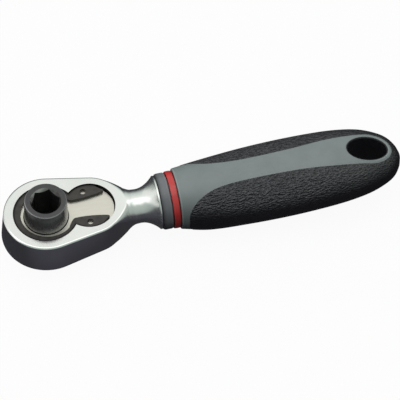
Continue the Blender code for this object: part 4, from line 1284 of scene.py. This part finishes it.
def build_core():
    """Grey core: the whole handle's form, which the black grip lies on."""
    angles = [tau * (i + 0.5) / HANDLE_ROUND for i in range(HANDLE_ROUND)]
    rows = []
    edge_half = handle_half(HANDLE_EDGE / HANDLE_LENGTH)
    for inset, back in quarter(HANDLE_EDGE_STEPS)[:-1]:
        x = HANDLE_X + HANDLE_EDGE * back
        rows.append([section_point(x, *edge_half, angle, -HANDLE_EDGE * inset)[0] for angle in angles])
    for share in handle_stations():
        half = handle_half(share)
        x = HANDLE_X + HANDLE_LENGTH * share
        rows.append([section_point(x, *half, angle)[0] for angle in angles])
    core = tube("handle_grey", rows)
    nose_radius = MARKER_RADIUS - MARKER_WALL - SEAT_GAP
    nose = rod("nose", nose_radius, MARKER_LOW.x, HANDLE_X + TOOL_REACH, along_x=True)
    combine(core, "UNION", nose)
    bore = tang_bore(MARKER_LOW.x - TOOL_REACH, HEAD_HIGH.x + SEAT_GAP)
    combine(core, "DIFFERENCE", bore, tube("hole", hole_rows(0, TOOL_REACH)))
    dress(core, "body", "core", "handle_core", HANDLE_GREY)


def grip_row(x, half_width, toward, side):
    """Section of the grip at a place along X, from under its upper edge round the side to its lower edge.

    toward is the direction in plan from the grip's edge to the strip.
    """
    half = handle_half((x - HANDLE_X) / HANDLE_LENGTH)
    reach = min(half_width / half[0], 1)
    limit = acos(reach ** (SECTION_POWER / 2))
    angles = [limit * (1 - 2 * i / GRIP_ROUND) for i in range(GRIP_ROUND + 1)]
    row = [section_point(x, *half, angle, GRIP_PROUD) for angle in angles]
    roll, tuck = (GRIP_LIP, GRIP_TUCK) if half_width else (0, 0)
    lips = []
    for point, normal in (row[0], row[-1]):
        lip = [point + toward * roll * sin(a) - normal * roll * (1 - cos(a)) for a in GRIP_LIP_TURNS]
        lips.append(lip + [lip[-1] - normal * tuck])
    points = lips[0][::-1] + [point for point, normal in row] + lips[1]
    return [(p.x, side * max(p.y, 0), p.z) for p in points]


def grip_side(side):
    """Rows of the grip's skin on one side (1 or -1), from its front to the middle of the handle's end."""
    line = strip_line()
    rows = []
    for i, (x, y) in enumerate(line):
        widest = handle_half((x - HANDLE_X) / HANDLE_LENGTH)[0]
        if x > HANDLE_X + HANDLE_EDGE and y < widest * STRIP_WIDEST_SHARE:
            along = line_step(line, i).normalized()
            rows.append(grip_row(x, y, Vector((along.y, -along.x, 0)), side))
    for i in range(1, GRIP_END_STEPS + 1):
        share = 1 - (1 - i / GRIP_END_STEPS) ** GRIP_END_POWER
        x = STRIP_END_X + (HANDLE_END_X - STRIP_END_X) * share
        rows.append(grip_row(x, 0, Vector((-1, 0, 0)), side))
    pole = (HANDLE_END_X + GRIP_PROUD, 0, handle_half(1)[2])
    rows.append([pole] * len(rows[-1]))
    return rows


def build_grip():
    """Black grip on both sides of the strip, round the handle's end and as the hang hole's lining."""
    shape = bmesh.new()
    for side in (1, -1):
        add_rows(shape, grip_side(side))
    between = [face for face in shape.faces if all(abs(vert.co.y) < WELD for vert in face.verts)]
    bmesh.ops.delete(shape, geom=between, context="FACES")
    grip = add_solid("grip_skin", shape)
    wall = grip.modifiers.new("wall", "SOLIDIFY")
    wall.thickness = GRIP_WALL
    wall.offset = -1
    apply_modifiers(grip)
    skin_faces = len(grip.data.polygons)
    add_lining(grip)
    dress(grip, "body", "grip", "soft_grip", GRIP_BLACK, HOLE_LINING_SHADE)
    # The lining takes the near-black rubber, which also paints the hole's shade
    for face in grip.data.polygons[skin_faces:]:
        face.material_index = 1


def add_lining(grip):
    """Add the hang hole's closed lining to the grip's mesh."""
    rows = hole_rows(LINER_START, 0, LINER_GAP) + list(reversed(hole_rows(LINER_START, 0, -LINER_WALL)))
    lining = tube("lining", rows + rows[:1], ends=())
    whole = bmesh.new()
    for part in (grip, lining):
        whole.from_mesh(part.data)
    whole.to_mesh(grip.data)
    whole.free()
    remove_part(lining)


# Stage


def seen_directly(tree):
    """1 for the rays that show the background itself: to the camera, in metal and through glass."""
    paths = add_node(tree, "LightPath").outputs
    metal_or_glass = add_math(tree, "MAXIMUM", paths["Is Glossy Ray"], paths["Is Transmission Ray"])
    return add_math(tree, "MAXIMUM", paths["Is Camera Ray"], metal_or_glass)


def add_shader(tree, kind, *inputs, **named):
    return add_node(tree, kind, *inputs, **named).outputs[0]


def clear_tree(owner, output):
    """Node tree of a new material or world with its output alone. Returns the output's surface as well."""
    owner.use_nodes = True
    tree = owner.node_tree
    tree.nodes.clear()
    return tree, add_node(tree, output).inputs["Surface"]


def floor_height():
    """Just clear of the lowest point of the object."""
    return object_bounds()[0].z - FLOOR_DROP


def build_floor():
    """Pale floor that is clear from below.

    The rays that show it see it nearly white, with the object's soft shadow.
    To other rays it is dim, but for a strip under the object that glows to light it from below.
    """
    bpy.ops.mesh.primitive_plane_add(size=FLOOR_SIZE, location=(CAMERA_TARGET.x, 0, floor_height()))
    floor = bpy.context.object
    floor.name = "floor"
    material = bpy.data.materials.new("floor_white")
    tree, surface = clear_tree(material, "OutputMaterial")
    shadowed = add_shader(tree, "BsdfDiffuse", FLOOR_PALE)
    white = add_shader(tree, "MixShader", FLOOR_GLOW, shadowed, add_shader(tree, "Emission"))
    away = add_math(tree, "ABSOLUTE", add_axis(tree, "Y"))
    # Strip under the object that glows for bounce light only, lighting the object from below
    strip = add_range(tree, away, 1.0, 0.0, *UNDER_GLOW_EDGE)
    dim = add_shader(tree, "BsdfDiffuse", FLOOR_DIM)
    bounce = add_shader(tree, "AddShader", dim, add_shader(tree, "Emission", Strength=strip))
    upper = add_shader(tree, "MixShader", seen_directly(tree), bounce, white)
    below = add_node(tree, "NewGeometry").outputs["Backfacing"]
    sided = add_shader(tree, "MixShader", below, upper, add_shader(tree, "BsdfTransparent"))
    tree.links.new(sided, surface)
    floor.data.materials.append(material)
    floor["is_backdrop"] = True


def build_world():
    """Studio surroundings, white to the rays that show them.

    To other rays they are bright overhead and, but for one side, dim near the horizon.
    """
    world = bpy.data.worlds.new("studio")
    bpy.context.scene.world = world
    tree, surface = clear_tree(world, "OutputWorld")
    rise = add_axis(tree, "Z", "Generated")
    side = add_measure(tree, "DOT_PRODUCT", add_coords(tree, "Generated"), BRIGHT_SIDE)
    far = add_range(tree, side, 0.0, 1.0, *BRIGHT_EDGE)
    tint = add_mix(tree, far, add_ramp(tree, rise, *DIM_SKY), add_ramp(tree, rise, *BRIGHT_SKY))
    studio = add_shader(tree, "Background", tint)
    white = add_shader(tree, "Background", WHITE)
    tree.links.new(add_shader(tree, "MixShader", seen_directly(tree), studio, white), surface)


def build_card(name, shape, axis, stops):
    """Card that only reflections show, with its colours from one edge to the other along an axis."""
    card = add_shape(name, shape)
    material = bpy.data.materials.new(name)
    tree, surface = clear_tree(material, "OutputMaterial")
    colour = add_ramp(tree, add_axis(tree, axis, "Generated"), *stops)
    tree.links.new(add_shader(tree, "Emission", colour), surface)
    card.data.materials.append(material)
    card.visible_camera = False
    card.visible_diffuse = False
    card.visible_shadow = False
    card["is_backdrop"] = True


def standing_card(side, half_angle, height):
    """Card that stands round one side of the object."""
    floor = floor_height()
    middle = atan2(side.y, side.x)
    shape = bmesh.new()
    line = []
    for i in range(CARD_STEPS + 1):
        angle = middle + half_angle * (2 * i / CARD_STEPS - 1)
        line.append((CAMERA_TARGET.x + CARD_DISTANCE * cos(angle), CARD_DISTANCE * sin(angle)))
    add_rows(shape, [lay(line, floor + rise, along_x=False) for rise in (0, height)])
    return shape


def table_card():
    """Card that lies under the object, cut away behind the head and open beneath it."""
    height = floor_height() + TABLE_CARD_RISE
    corner_x, corner_y = TABLE_CARD_CORNER
    outline = [(corner_x, corner_y), (-CARD_DISTANCE, corner_y)]
    outline += arc(0, CARD_DISTANCE, pi, tau + TABLE_CARD_END, CARD_STEPS)
    opening = hull(HEAD_FRONT_RADIUS - TABLE_CARD_LAP, HEAD_REAR_RADIUS - TABLE_CARD_LAP, PIVOT_X)
    shape = bmesh.new()
    for line in (outline, opening):
        verts = [shape.verts.new((x, y, height)) for x, y in line]
        for first, second in zip(verts, verts[1:] + verts[:1]):
            shape.edges.new((first, second))
    bmesh.ops.triangle_fill(shape, use_beauty=True, edges=shape.edges)
    return shape


def build_lamp():
    lamp = bpy.data.lights.new("overhead", "AREA")
    lamp.shape = "RECTANGLE"
    lamp.size, lamp.size_y = LAMP_SIZE
    lamp.energy = LAMP_POWER
    add_object("overhead", lamp).location = LAMP_PLACE


def build_camera():
    camera = bpy.data.cameras.new("camera")
    camera.sensor_width = SENSOR_WIDTH
    camera.lens = CAMERA_LENS
    camera.clip_start, camera.clip_end = CAMERA_CLIP
    thing = add_object("camera", camera)
    level = cos(CAMERA_ELEVATION)
    back = Vector((-sin(CAMERA_AZIMUTH) * level, -cos(CAMERA_AZIMUTH) * level, sin(CAMERA_ELEVATION)))
    distance = CAMERA_WIDTH * CAMERA_LENS / SENSOR_WIDTH
    thing.location = CAMERA_TARGET + back * distance
    thing.rotation_mode = "QUATERNION"
    thing.rotation_quaternion = (CAMERA_TARGET - thing.location).to_track_quat("-Z", "Y")
    bpy.context.scene.camera = thing


def finish_node(node, material):
    """Give a solid of the frame its material."""
    for slot in frame["nodes"][node].material_slots:
        slot.material = material


build_head()
build_drive()
build_cover()
build_ring()
build_lever()
build_collar()
build_marker()
build_core()
build_grip()
for node in ("bit_magnet", "pawl", "lever_clip", "detent_plunger", "detent_spring"):
    finish_node(node, INNER_STEEL)
finish_node("drive_o_ring", RUBBER_BLACK)

build_floor()
build_world()
build_card("table_card", table_card(), "Y", TABLE_CARD_COLOURS)
for name, side, half_angle, height, colours in STANDING_CARDS:
    build_card(name, standing_card(side, half_angle, height), "Z", colours)
build_lamp()
build_camera()
bpy.context.scene.view_settings.view_transform = "Standard"
